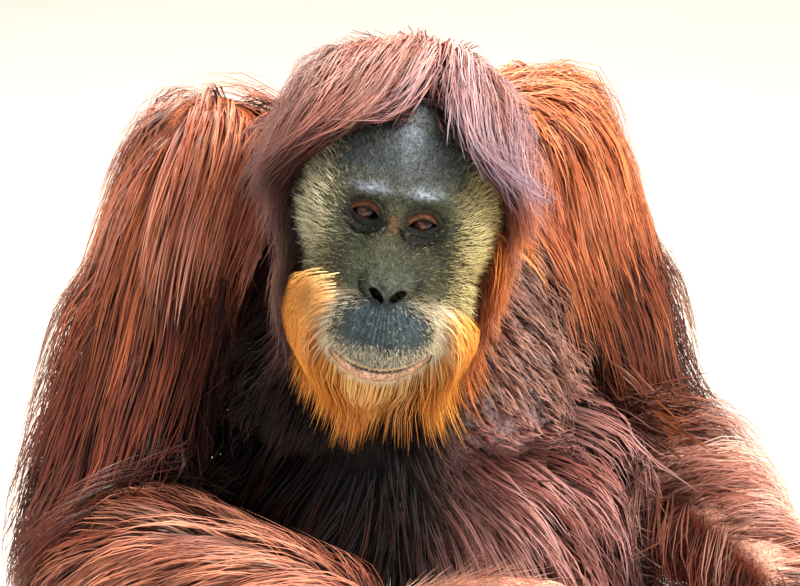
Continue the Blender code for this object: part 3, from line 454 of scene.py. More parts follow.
def ear(side):
    """A small rounded ear with its cup hollowed from the front."""
    sign = 1 if side == "left" else -1
    outer = [(sign * (0.076 + 0.017 * t), 0.084 + 0.006 * t, 0.004, 0.020 - 0.004 * (1 - t), 0.013 - 0.004 * (1 - t))
             for t in (0.0, 0.5, 1.0)]
    obj = loft(f"ear_skin_{side}", outer, (0, 0, 1), 24, 3, round_ends=(0.3, 0.35))
    hollow = [(sign * 0.0885, 0.080, 0.004, 0.012, 0.006), (sign * 0.1020, 0.083, 0.004, 0.014, 0.0085)]
    boolean(obj, "DIFFERENCE", [loft(f"ear_cup_{side}", hollow, (0, 0, 1), 20, 2, round_ends=(0.6, 0.3))])
    obj.data.transform(HEAD_MATRIX)
    return obj


# The body, hands and feet

def digit(name, start, aim, palm, lengths, radius, curl, nails, thin=0.78):
    """A finger or toe of bent joints that curl towards the palm, and the place of its nail."""
    here, aim, palm = Vector(start), Vector(aim).normalized(), Vector(palm).normalized()
    hinge = aim.cross(palm).normalized()
    stations = [(*(here - aim * radius * 0.7), radius, radius)]
    for i, length in enumerate(lengths):
        turn = Matrix.Rotation(curl[i], 3, hinge)
        aim = turn @ aim
        middle = here + aim * length * 0.5
        here = here + aim * length
        size = radius * (1 - (1 - thin) * (i + 1) / len(lengths))
        waist = radius * (1 - (1 - thin) * (i + 0.5) / len(lengths)) * 0.90
        stations += [(*middle, waist, waist), (*here, size, size)]
    nails.append((here.copy(), aim.copy(), aim.cross(hinge).normalized() * -1, size))
    return loft(name, stations, tuple(hinge), 14, 2, round_ends=(0.5, 0.8))


def hand(side, nails):
    """A long hook-like hand: flat palm, four curled fingers and a short thumb."""
    wrist, knuckle = Vector(WRIST[side]), Vector(KNUCKLES[side])
    aim = (knuckle - wrist).normalized()
    back = Vector(HAND_BACK[side])
    back = (back - aim * back.dot(aim)).normalized()
    across = aim.cross(back).normalized()
    thumb_sign = -1 if side == "right" else 1
    rows = [(wrist - aim * 0.012, 0.026, 0.019), (wrist + aim * 0.03, 0.034, 0.020),
            (wrist + aim * 0.07, 0.039, 0.019), (knuckle, 0.038, 0.015)]
    pieces = [loft(f"palm_{side}", [(*p, w, d) for p, w, d in rows], tuple(across), 24, 3, 0.001, (0.5, 0.6))]
    for i, (offset, size) in enumerate(((-0.0285, 0.94), (-0.0095, 1.0), (0.0095, 0.98), (0.0285, 0.86))):
        start = knuckle + across * offset * thumb_sign * -1
        splay = across * offset * thumb_sign * -2.0
        lengths = [0.043 * size, 0.034 * size, 0.024 * size]
        pieces.append(digit(f"finger_{i}", start, aim + splay, -back, lengths, 0.0110, (0.50, 0.72, 0.50), nails))
    thumb_start = wrist + aim * 0.030 + across * thumb_sign * 0.030 - back * 0.004
    thumb_aim = aim * 0.75 + across * thumb_sign * 0.65 - back * 0.45
    pieces.append(digit("thumb", thumb_start, thumb_aim, -back, [0.026, 0.020], 0.0103, (0.2, 0.35), nails))
    made = joined(f"hand_skin_{side}", pieces)
    voxel_skin(made, 0.0033, 3)
    return made


def foot(side, nails):
    """A long grasping foot, its sole flat on the floor: heel, arch, four curled toes and a short big toe."""
    ankle = Vector(ANKLE[side])
    aim = Vector(TOE_AIM[side]).normalized()
    up = Vector((0, 0, 1))
    inward = aim.cross(up).normalized()
    if (side == "right") != (inward.x > 0):
        inward = -inward
    base = Vector((ankle.x, ankle.y, 0.0))
    rows = [(base - aim * 0.026 + up * 0.027, 0.024, 0.026), (base + aim * 0.015 + up * 0.029, 0.030, 0.030),
            (base + aim * 0.060 + up * 0.023, 0.033, 0.023), (base + aim * 0.105 + up * 0.019, 0.036, 0.018)]
    pieces = [loft(f"sole_{side}", [(*p, w, d) for p, w, d in rows], tuple(inward), 24, 3, 0.002, (0.8, 0.6))]
    for i, offset in enumerate((-0.029, -0.010, 0.010, 0.027)):
        start = base + aim * (0.108 - 0.25 * abs(offset)) + inward * offset + up * 0.017
        lengths = [0.040 - 0.1 * abs(offset), 0.030, 0.020]
        pieces.append(digit(f"toe_{i}", start, aim + inward * offset * 3, -up, lengths, 0.0113,
                            (-0.20, 0.45, 0.42), nails))
    hallux_start = base + aim * 0.030 + inward * 0.024 + up * 0.016
    pieces.append(digit("big_toe", hallux_start, aim * 0.45 + inward, -up, [0.026, 0.018], 0.0108,
                        (-0.05, 0.12), nails))
    leg = limb_stations(ankle + Vector((0, 0, 0.012)), base + up * 0.030, (0.030, 0.030, 0.029))
    pieces.append(loft("ankle", leg, tuple(inward), 20, 3, 0.002, (0.3, 0.6)))
    made = joined(f"foot_skin_{side}", pieces)
    voxel_skin(made, 0.0038, 3)
    points = points_of(made.data)
    points[:, 2] = np.maximum(points[:, 2], 0.0006)
    made.data.vertices.foreach_set("co", points.astype(np.float32).ravel())
    return made


def body_skin():
    """Trunk and limbs grown into one skin."""
    parts = [loft("trunk", TORSO, (1, 0, 0), 40, 4, round_ends=(0.5, 0.7))]
    for side, sign in (("left", 1), ("right", -1)):
        arm = limb_stations(SHOULDER[side], ELBOW[side], UPPER_ARM_RADII, (0.012 * sign, 0, 0))
        parts.append(loft("upper_arm", arm, (0, 1, 0), 28, 4))
        parts.append(loft("forearm", limb_stations(ELBOW[side], WRIST[side], FOREARM_RADII), (0, 0, 1), 28, 4))
        parts.append(loft("thigh", limb_stations(HIP[side], KNEE[side], THIGH_RADII), (0, 0, 1), 28, 4))
        parts.append(loft("shin", limb_stations(KNEE[side], ANKLE[side], SHIN_RADII), (0, 0, 1), 28, 4))
        breast = [(0.060 * sign, -0.128, 0.520, 0.050, 0.030), (0.074 * sign, -0.158, 0.465, 0.060, 0.036),
                  (0.080 * sign, -0.172, 0.420, 0.052, 0.032)]
        parts.append(loft("breast", breast, (1, 0, 0), 24, 4, round_ends=(0.8, 0.8)))
    made = joined("body_skin", parts)
    voxel_skin(made, 0.0084, 6)
    points = points_of(made.data)
    points[:, 2] = np.maximum(points[:, 2], 0.0008)
    made.data.vertices.foreach_set("co", points.astype(np.float32).ravel())
    return made


def whole_skin(nails):
    skin = body_skin()
    skin.name = "skin"
    others = [head_skin()] + lid_rims()
    for side in ("left", "right"):
        others += [ear(side), hand(side, nails), foot(side, nails)]
    boolean(skin, "UNION", others)
    points = points_of(skin.data)
    mask = np.zeros(len(points))
    for side in ("left", "right"):
        for place in (WRIST[side], ANKLE[side]):
            mask = np.maximum(mask, 1 - ramp(np.linalg.norm(points - np.array(place), axis=1), 0.030, 0.055))
    smooth_mesh(skin, 8, mask * 0.5)
    skin.data.shade_smooth()
    return skin


# Where a point of the skin is on the animal

PARTS = ["trunk", "head"] + [f"{part}_{side}" for side in ("left", "right")
                             for part in ("upper_arm", "forearm", "thigh", "shin", "hand", "foot")]


def bone(part):
    """The start, end and radii of a limb's part."""
    kind, side = part.rsplit("_", 1)
    if kind == "upper_arm":
        return SHOULDER[side], ELBOW[side], UPPER_ARM_RADII
    if kind == "forearm":
        return ELBOW[side], WRIST[side], FOREARM_RADII
    if kind == "thigh":
        return HIP[side], KNEE[side], THIGH_RADII
    if kind == "shin":
        return KNEE[side], ANKLE[side], SHIN_RADII
    if kind == "hand":
        wrist, knuckle = np.array(WRIST[side]), np.array(KNUCKLES[side])
        return wrist + (knuckle - wrist) * 0.1, wrist + (knuckle - wrist) * 1.6, (0.026, 0.040, 0.040, 0.040)
    ankle = np.array(ANKLE[side])
    toe = np.array((ankle[0], ankle[1], 0.02)) + unit(np.array(TOE_AIM[side])) * 0.17
    return np.array((ankle[0], ankle[1], 0.03)), toe, (0.034, 0.038, 0.038, 0.036)


def along_bone(part, points):
    """How far along a limb's part each point is, 0 to 1, and its distance as a share of the radius."""
    a, b, radii = bone(part)
    a, b = np.array(a), np.array(b)
    t = np.clip((points - a) @ (b - a) / ((b - a) @ (b - a)), 0, 1)
    far = np.linalg.norm(points - (a + t[:, None] * (b - a)), axis=1)
    return t, far / np.interp(t, np.linspace(0, 1, len(radii)), radii)


def trunk_share(points):
    rows = np.array(TORSO)
    cx, cy, wide, deep = (np.interp(points[:, 2], rows[:, 2], rows[:, k]) for k in (0, 1, 3, 4))
    over = np.maximum(points[:, 2] - rows[-1, 2], 0) / 0.12 + np.maximum(rows[0, 2] - points[:, 2], 0) / 0.05
    return np.hypot((points[:, 0] - cx) / wide, (points[:, 1] - cy) / deep) + over


def in_head(points):
    inverse = np.array(HEAD_MATRIX.inverted())
    return points @ inverse[:3, :3].T + inverse[:3, 3]


def from_head(rows):
    """Directions in the head's frame turned to the row frame."""
    return rows @ np.array(HEAD_TURN.to_matrix()).T


def head_share(local):
    rows = local - np.array(HEAD_HEART)
    far = np.linalg.norm(rows, axis=1)
    return far / head_masses(unit(rows))


def part_weights(points):
    """How much each part owns each point: one row a part."""
    shares = [trunk_share(points), head_share(in_head(points)) * 0.96]
    for part in PARTS[2:]:
        shares.append(along_bone(part, points)[1] * (0.92 if part.startswith(("hand", "foot")) else 1.0))
    shares = np.array(shares)
    weights = np.exp(-9 * (shares - shares.min(0)))
    return weights / weights.sum(0)


def beard_bend(local):
    """The angle in degrees round the mouth from straight down."""
    return np.degrees(np.abs(np.arctan2(local[:, 0] - MOUTH_X, -(local[:, 2] + 0.088))))


def head_zones(local):
    """Shares of scalp, beard and open face over points in the head's frame."""
    x, y, z = local.T
    oval = np.hypot(x / 0.080, (z + 0.002) / 0.082)
    wedge = ramp(0.110 - z - 1.9 * np.abs(x - PARTING_X), 0, 0.006) * (y < 0.06)
    scalp = np.maximum(ramp(oval, 0.98, 1.08) * (1 - wedge) * ramp(z, -0.075, -0.045), ramp(y, 0.058, 0.072) * ramp(z, -0.110, -0.080))
    lips = np.hypot((x - MOUTH_X) / (0.050 + 0.004 * ramp(-z, 0.10, 0.13)), (z + 0.096) / 0.0485)
    above = np.where(x > 0, 1.0, 0.7) * np.abs(x)
    beard = ramp(lips, 0.98, 1.08) * ramp(-z - above, 0.016, 0.026) * ramp(-y, -0.080, -0.060)
    beard = beard * ramp(138 - beard_bend(local), 0, 34)
    scalp = scalp * (1 - beard)
    return scalp, beard, np.clip(1 - scalp - beard, 0, 1), lips


def drift(points, size, chance):
    """A gentle wandering direction that changes over about the given distance."""
    made = np.zeros_like(points)
    for _ in range(7):
        wave = unit(chance.normal(size=3)) * 2 * math.pi / (size * chance.uniform(0.6, 1.5))
        made += np.sin(points @ wave + chance.uniform(0, 6.28))[:, None] * unit(chance.normal(size=3))
    return made * 0.65


def lie_of_coat(points, normals, weights):
    """The direction in which the hair lies at each point of the skin."""
    x, y, z = points.T
    side = np.tanh(x / 0.03)
    rows = np.array(TORSO)
    middle = np.interp(z, rows[:, 2], rows[:, 1])
    front = ramp(middle - y, -0.02, 0.05)
    top = ramp(z, 0.52, 0.63)
    flow = np.zeros_like(points)
    trunk = np.stack([side * (front * (0.30 + 0.35 * ramp(z, 0.20, 0.42)) + 0.12 + top * 1.1),
                      -0.15 * top * (1 - front), -np.ones(len(points))], axis=1)
    # Below the breast's fold the hair starts outwards and then turns down the belly
    fold = np.exp(-((z - 0.410) / 0.034) ** 2) * front * ramp(x, 0.02, 0.06)
    trunk = trunk + np.stack([1.5 * fold, 0 * x, 0.5 * fold], axis=1)
    flow += weights[0][:, None] * unit(trunk)
    local, local_normal = in_head(points), normals @ np.array(HEAD_TURN.to_matrix())
    flow += weights[1][:, None] * from_head(lie_of_head(local, local_normal))
    for i, part in enumerate(PARTS[2:], 2):
        a, b, _ = bone(part)
        along = unit(np.array(b) - np.array(a))
        if part.startswith("forearm"):
            left = part.endswith("left")
            outer = ramp(normals[:, 0], -0.95, -0.45)[:, None] if left else np.full((len(points), 1), 1.0)
            out = np.array((1.3, 0, -0.45)) if left else np.array((-0.35, 0, -0.45))
            along = unit(-along * (0.35 if left else 1.0) + out * outer + np.array((0, 0, -1.2)) * (1 - outer))
        elif part.startswith("thigh"):
            along = unit(along + np.array((0, 0, -0.75)))
        flow += weights[i][:, None] * along
    chance = np.random.default_rng(SEED)
    still = (1 - 0.85 * weights[1] * head_zones(local)[2]) * (1 - 0.55 * weights[1])
    return flow + (0.17 * drift(points, 0.11, chance) + 0.11 * drift(points, 0.04, chance)) * still[:, None]


def lie_of_head(local, normal):
    """The lie of the hair over the head, in its own frame."""
    x, y, z = local.T
    scalp, beard, face, lips = head_zones(local)
    side = np.tanh((x - PARTING_X) / 0.026)
    radial = local - np.array(CROWN)
    radial = unit(radial - normal * (radial * normal).sum(1)[:, None])
    ahead = ramp(0.075 - y, 0, 0.050) * ramp(z, 0.00, 0.05)
    steep = 0.35 + 1.25 * ramp(np.abs(x - PARTING_X), 0.004, 0.040)
    spread_out = np.stack([side * 0.36 + (x - PARTING_X) * 3, 0 * x, -steep], axis=1)
    hair = unit(radial + spread_out * ahead[:, None] + np.array((0, 0, -0.35)) * (1 - ahead)[:, None])
    away = np.stack([(x - MOUTH_X), np.zeros(len(x)), (z + 0.080) * 0.9], axis=1)
    whisker = unit(unit(away) + np.array((0, 0, -0.45)))
    # Down of the face: up and out from between the eyes, out and back over the cheeks
    cheek = np.stack([side * (0.25 + np.abs(x) / 0.05), 0.5 + 0 * x, (z + 0.030) / 0.06 + 0.1], axis=1)
    down = unit(cheek)
    return hair * scalp[:, None] + whisker * beard[:, None] + down * face[:, None]


# Hair

STEPS = 12


def nearest(tree, points):
    """For each point, the nearest one of the skin and the face that it lies on."""
    place = np.empty((len(points), 3))
    face = np.empty(len(points), np.int64)
    for i, point in enumerate(points):
        found = tree.find_nearest(point)
        place[i] = found[0]
        face[i] = found[2]
    return place, face


class Skin:
    """What the hair needs of the skin: its faces, their normals, the lie of the coat and a search tree."""

    def __init__(self, obj):
        mesh = obj.data
        mesh.calc_loop_triangles()
        flat = np.empty(len(mesh.loop_triangles) * 3, np.int32)
        mesh.loop_triangles.foreach_get("vertices", flat)
        self.points = points_of(mesh)
        self.faces = flat.reshape(-1, 3)
        normals = np.empty(len(mesh.vertices) * 3)
        mesh.vertices.foreach_get("normal", normals)
        self.normals = normals.reshape(-1, 3)
        edges = edges_of(mesh)
        self.weights = part_weights(self.points)
        flow = spread(lie_of_coat(self.points, self.normals, self.weights), edges, 10)
        broad = unit(spread(self.normals, edges, 6))
        self.face_flow = unit(flow[self.faces].mean(1))
        self.face_normal = unit(broad[self.faces].mean(1))
        corners = self.points[self.faces]
        self.area = np.linalg.norm(np.cross(corners[:, 1] - corners[:, 0], corners[:, 2] - corners[:, 0]), axis=1) / 2
        self.face_part = self.weights[:, self.faces].mean(2).argmax(0)
        self.centre = corners.mean(1)
        self.tree = BVHTree.FromPolygons([tuple(p) for p in self.points], [tuple(f) for f in self.faces])

    def scatter(self, density, count, chance):
        """Roots spread over the faces by area and density, with the face of each."""
        odds = self.area * density
        chosen = chance.choice(len(self.faces), count, p=odds / odds.sum())
        u, v = chance.random(count), chance.random(count)
        over = u + v > 1
        u, v = np.where(over, 1 - u, u), np.where(over, 1 - v, v)
        a, b, c = (self.points[self.faces[chosen, k]] for k in range(3))
        return a + (b - a) * u[:, None] + (c - a) * v[:, None], chosen


def grow(skin, roots, faces, first, length, depth, weight, cling, rise):
    """Guide lines that leave their roots, lie over the body at the coat's depth and hang as they can."""
    here, ahead = roots.copy(), first.copy()
    line = np.empty((STEPS + 1, len(roots), 3))
    ups = np.empty_like(line)
    stride = (length / STEPS)[:, None]
    down = np.array((0, 0, -1.0))
    for i in range(STEPS + 1):
        near, face = (roots, faces) if i == 0 else nearest(skin.tree, here)
        normal = skin.face_normal[face]
        height = ((here - near) * normal).sum(1)
        want = depth * min(1.0, i / (STEPS * rise)) ** 0.8
        lift = np.where(height < want, want - height, (want - height) * cling)
        here = here + normal * lift[:, None] * (0 if i == 0 else 1)
        here[:, 2] = np.maximum(here[:, 2], 0.003)
        line[i], ups[i] = here, normal
        free = np.clip((height - want) / 0.02, 0, 1)[:, None]
        flow = skin.face_flow[face]
        ahead = unit(ahead + flow * 0.42 * (1 - free) + down * (weight[:, None] + free * 0.22) / 4)
        out = (ahead * normal).sum(1)[:, None]
        low = (height < want + 0.004)[:, None]
        ahead = unit(np.where(low, ahead - normal * (np.minimum(out, 0) + np.maximum(out, 0) * 0.5), ahead))
        here = here + ahead * stride
    smooth = line.copy()
    for _ in range(2):
        smooth[1:-1] = smooth[1:-1] * 0.5 + (smooth[:-2] + smooth[2:]) * 0.25
    return smooth, ups


def tufts(skin, guides, ups, each, segments, reach, clump, shrink, wave, chance):
    """Tufts round each guide: each has its own root and leans in on the guide towards the tip."""
    count = guides.shape[1]
    owner = np.repeat(np.arange(count), each)
    normal = ups[0][owner]
    aside = unit(np.cross(normal, guides[2][owner] - guides[0][owner]))
    ahead = np.cross(aside, normal)
    radius = reach[owner] * np.sqrt(chance.random(len(owner)))
    angle = chance.uniform(0, 2 * math.pi, len(owner))
    shift = aside * (radius * np.cos(angle))[:, None] + ahead * (radius * np.sin(angle))[:, None]
    roots = nearest(skin.tree, guides[0][owner] + shift)[0]
    shift = roots - guides[0][owner]
    share = chance.uniform(1 - shrink, 1.0, len(owner))
    t = np.linspace(0, 1, segments + 1)[None, :] ** 0.92 * share[:, None] * STEPS
    low = np.minimum(t.astype(int), STEPS - 1)
    part = (t - low)[..., None]
    own = owner[:, None]
    line = guides[low, own] * (1 - part) + guides[low + 1, own] * part
    lean = ups[low, own]
    s = (t / STEPS)[..., None]
    line = line + shift[:, None, :] * (1 - clump[owner][:, None, None] * s ** 1.1)
    sway = chance.normal(0, 1, (len(owner), 2))
    side = unit(np.cross(lean, guides[np.minimum(low + 1, STEPS), own] - guides[low, own] + 1e-6))
    line += side * (sway[:, 0][:, None, None] * wave[owner][:, None, None] * s ** 1.5)
    line += lean * (np.abs(sway[:, 1])[:, None, None] * wave[owner][:, None, None] * 0.5 * s ** 1.3)
    line[..., 2] = np.maximum(line[..., 2], 0.002)
    return line, lean, owner, share


def place_on_unwrap(part, roots):
    """Where a root lies on an unwrap of its own part: round it across, and along it up."""
    if part == "head":
        local = in_head(roots) - np.array(HEAD_HEART)
        across = np.arctan2(local[:, 0], -local[:, 1]) / (2 * math.pi) + 0.5
        high = np.arccos(np.clip(unit(local)[:, 2], -1, 1)) / math.pi
    elif part in ("trunk", "mantle"):
        across = np.arctan2(roots[:, 0], -(roots[:, 1] + 0.045)) / (2 * math.pi) + 0.5
        high = roots[:, 2] / 0.72
    else:
        a, b, _ = bone(part)
        a, axis = np.array(a), unit(np.array(b) - np.array(a))
        one = unit(np.cross(axis, (0.3, 0.2, 0.9)))
        two = np.cross(axis, one)
        across = np.arctan2((roots - a) @ one, (roots - a) @ two) / (2 * math.pi) + 0.5
        high = ((roots - a) @ axis + 0.10) / (np.linalg.norm(np.array(b) - a) + 0.20)
    return 0.02 + 0.96 * np.clip(np.stack([across, high], axis=1), 0, 1)


WIDTHS = {1: (1.0, 0.12), 2: (0.9, 0.8, 0.10), 3: (0.75, 1.0, 0.7, 0.08), 4: (0.7, 1.0, 0.9, 0.55, 0.07),
          5: (0.6, 0.95, 1.0, 0.82, 0.5, 0.07), 6: (0.6, 0.9, 1.0, 0.92, 0.74, 0.46, 0.06)}


def add(tree, kind, settings=None, **links):
    """Adds a node with its settings, and links or sets its inputs by socket name or index."""
    node = tree.nodes.new(kind)
    for key, value in (settings or {}).items():
        setattr(node, key, value)
    for key, value in links.items():
        socket = node.inputs[int(key[1:])] if key[0] == "i" and key[1:].isdigit() else node.inputs[key.replace("_", " ")]
        if isinstance(value, bpy.types.NodeSocket):
            tree.links.new(value, socket)
        else:
            socket.default_value = value
    return node


def tuft_tree():
    """Geometry Nodes that turn lines with a thickness, tint and place into thin closed tufts."""
    tree = bpy.data.node_groups.new("tufts", "GeometryNodeTree")
    face = tree.interface
    face.new_socket("Geometry", in_out="INPUT", socket_type="NodeSocketGeometry")
    for name, value in (("Width", 0.001), ("Flatness", 0.55), ("Patch", 0.003)):
        face.new_socket(name, in_out="INPUT", socket_type="NodeSocketFloat").default_value = value
    face.new_socket("Sides", in_out="INPUT", socket_type="NodeSocketInt").default_value = 3
    face.new_socket("Material", in_out="INPUT", socket_type="NodeSocketMaterial")
    face.new_socket("Geometry", in_out="OUTPUT", socket_type="NodeSocketGeometry")
    entry, leave = tree.nodes.new("NodeGroupInput"), tree.nodes.new("NodeGroupOutput")
    ins = entry.outputs
    curve = add(tree, "GeometryNodeMeshToCurve", Mesh=ins["Geometry"])
    up = add(tree, "GeometryNodeInputNamedAttribute", {"data_type": "FLOAT_VECTOR"}, Name="up")
    facing = add(tree, "GeometryNodeSetCurveNormal", {"mode": "FREE"}, Curve=curve.outputs[0], Normal=up.outputs[0])
    spot = add(tree, "GeometryNodeSplineParameter")
    marked = add(tree, "GeometryNodeStoreNamedAttribute", {"data_type": "FLOAT", "domain": "POINT"},
                 Geometry=facing.outputs[0], Name="run", Value=spot.outputs["Factor"])
    ring = add(tree, "GeometryNodeCurvePrimitiveCircle", Resolution=ins["Sides"], Radius=1.0)
    wide = add(tree, "ShaderNodeCombineXYZ", X=ins["Flatness"], Y=1.0, Z=1.0)
    flat = add(tree, "GeometryNodeTransform", Geometry=ring.outputs[0], Scale=wide.outputs[0])
    rim = add(tree, "GeometryNodeStoreNamedAttribute", {"data_type": "FLOAT", "domain": "POINT"},
              Geometry=flat.outputs[0], Name="rim", Value=spot.outputs["Factor"])
    thick = add(tree, "GeometryNodeInputNamedAttribute", {"data_type": "FLOAT"}, Name="thick")
    size = add(tree, "ShaderNodeMath", {"operation": "MULTIPLY"}, i0=thick.outputs[0], i1=ins["Width"])
    skin = add(tree, "GeometryNodeCurveToMesh", Curve=marked.outputs[0], Profile_Curve=rim.outputs[0],
               Scale=size.outputs[0], Fill_Caps=True)
    root = add(tree, "GeometryNodeInputNamedAttribute", {"data_type": "FLOAT_VECTOR"}, Name="place")
    run = add(tree, "GeometryNodeInputNamedAttribute", {"data_type": "FLOAT"}, Name="run")
    around = add(tree, "GeometryNodeInputNamedAttribute", {"data_type": "FLOAT"}, Name="rim")
    step = add(tree, "ShaderNodeCombineXYZ", X=around.outputs[0], Y=run.outputs[0], Z=0.0)
    patch = add(tree, "ShaderNodeVectorMath", {"operation": "SCALE"}, i0=step.outputs[0], Scale=ins["Patch"])
    spot_uv = add(tree, "ShaderNodeVectorMath", {"operation": "ADD"}, i0=root.outputs[0], i1=patch.outputs[0])
    mapped = add(tree, "GeometryNodeStoreNamedAttribute", {"data_type": "FLOAT2", "domain": "CORNER"},
                 Geometry=skin.outputs[0], Name="OFBake", Value=spot_uv.outputs[0])
    real = add(tree, "GeometryNodeRealizeInstances", Geometry=mapped.outputs[0])
    done = add(tree, "GeometryNodeSetMaterial", Geometry=real.outputs[0], Material=ins["Material"])
    tree.links.new(done.outputs[0], leave.inputs[0])
    return tree


def hair_piece(name, tree, lines, leans, widths, tints, places, width, flatness, material):
    """A coat piece from many lines: closed tufts with their tint and their patch of the unwrap."""
    many, each, _ = lines.shape
    mesh = bpy.data.meshes.new(name)
    mesh.vertices.add(many * each)
    mesh.vertices.foreach_set("co", lines.astype(np.float32).ravel())
    index = np.arange(many * each).reshape(many, each)
    pairs = np.stack([index[:, :-1], index[:, 1:]], axis=-1).reshape(-1, 2)
    mesh.edges.add(len(pairs))
    mesh.edges.foreach_set("vertices", pairs.astype(np.int32).ravel())
    flat_places = np.concatenate([places, np.zeros((many, 1))], axis=1)
    for key, kind, values in (("thick", "FLOAT", widths), ("up", "FLOAT_VECTOR", leans),
                              ("tint", "FLOAT_COLOR", tints),
                              ("place", "FLOAT_VECTOR", np.repeat(flat_places, each, axis=0))):
        slot_name = {"FLOAT": "value", "FLOAT_VECTOR": "vector", "FLOAT_COLOR": "color"}[kind]
        attribute = mesh.attributes.new(key, kind, "POINT")
        attribute.data.foreach_set(slot_name, np.ascontiguousarray(values, np.float32).ravel())
    obj = bpy.data.objects.new(name, mesh)
    bpy.context.scene.collection.objects.link(obj)
    modifier = obj.modifiers.new("tufts", "NODES")
    modifier.node_group = tree
    keys = {item.name: item.identifier for item in tree.interface.items_tree if item.in_out == "INPUT"}
    modifier[keys["Width"]] = width / 2
    modifier[keys["Flatness"]] = flatness
    modifier[keys["Patch"]] = 0.003
    modifier[keys["Sides"]] = 3
    modifier[keys["Material"]] = material
    settle(obj)
    for key in ("thick", "up", "place"):
        if key in obj.data.attributes:
            obj.data.attributes.remove(obj.data.attributes[key])
    # Smooth along the tuft and over its back, sharp at its sides, so that the coat shades as one surface
    obj.data.shade_smooth()
    obj.data.set_sharp_from_angle(angle=math.radians(62))
    return obj


# Colours of the coat

def mix(a, b, share):
    """Colours a and b mixed by a share for each row."""
    a, b = np.broadcast_to(a, (len(share), 3)), np.broadcast_to(b, (len(share), 3))
    return a + (b - a) * share[:, None]


# Some of these stand for light and shade rather than the hair's own colour: a painted sunlit highlight for the tops of
# the shoulders and crown, the painted light of the forearms' lit side, a painted lilac sheen on the crown, and the
# near-black painted shadow of the chest and belly with its tip colour; the arm's inner colour is painted shade.
COLOURS = {key: linear(value) for key, value in {
    "arm_root": "#3A1208", "arm": "#7C2E14", "arm_tip": "#9A4A2A", "arm_light": "#FFC6B4",
    "fore": "#BC7458", "painted_sunlight": "#F4B098", "shoulder": "#CC7440", "shoulder_root": "#7A2E10", "inner": "#2A0C0C",
    "belly_root": "#3A1C1A", "belly": "#B87870", "belly_tip": "#F4C4C0",
    "chest_root": "#4A2E28", "chest": "#9A6C5C", "chest_tip": "#A8887E", "belly_painted_shadow": "#060304", "belly_painted_shadow_tip": "#4C2C2A",
    "back_root": "#3A1208", "back": "#8E3E18", "back_tip": "#B4642E",
    "crown_root": "#3A1410", "crown": "#A6604E", "crown_tip": "#745050", "crown_lilac": "#9A90A8",
    "fringe": "#423A46",
    "temple": "#EC8630", "temple_dark": "#6A2C16",
    "beard_root": "#FFF2D8", "beard": "#FFB04C", "beard_tip": "#FF9C38", "beard_pale": "#FFCC84",
    "leg_root": "#2A0E07", "leg": "#7E3618", "leg_tip": "#A65E34",
    "down_pale": "#FFECA8", "down_cream": "#F8EEC8", "down_dark": "#50523A", "lip_down": "#F8E8C8", "hand": "#E4B49C",
}.items()}


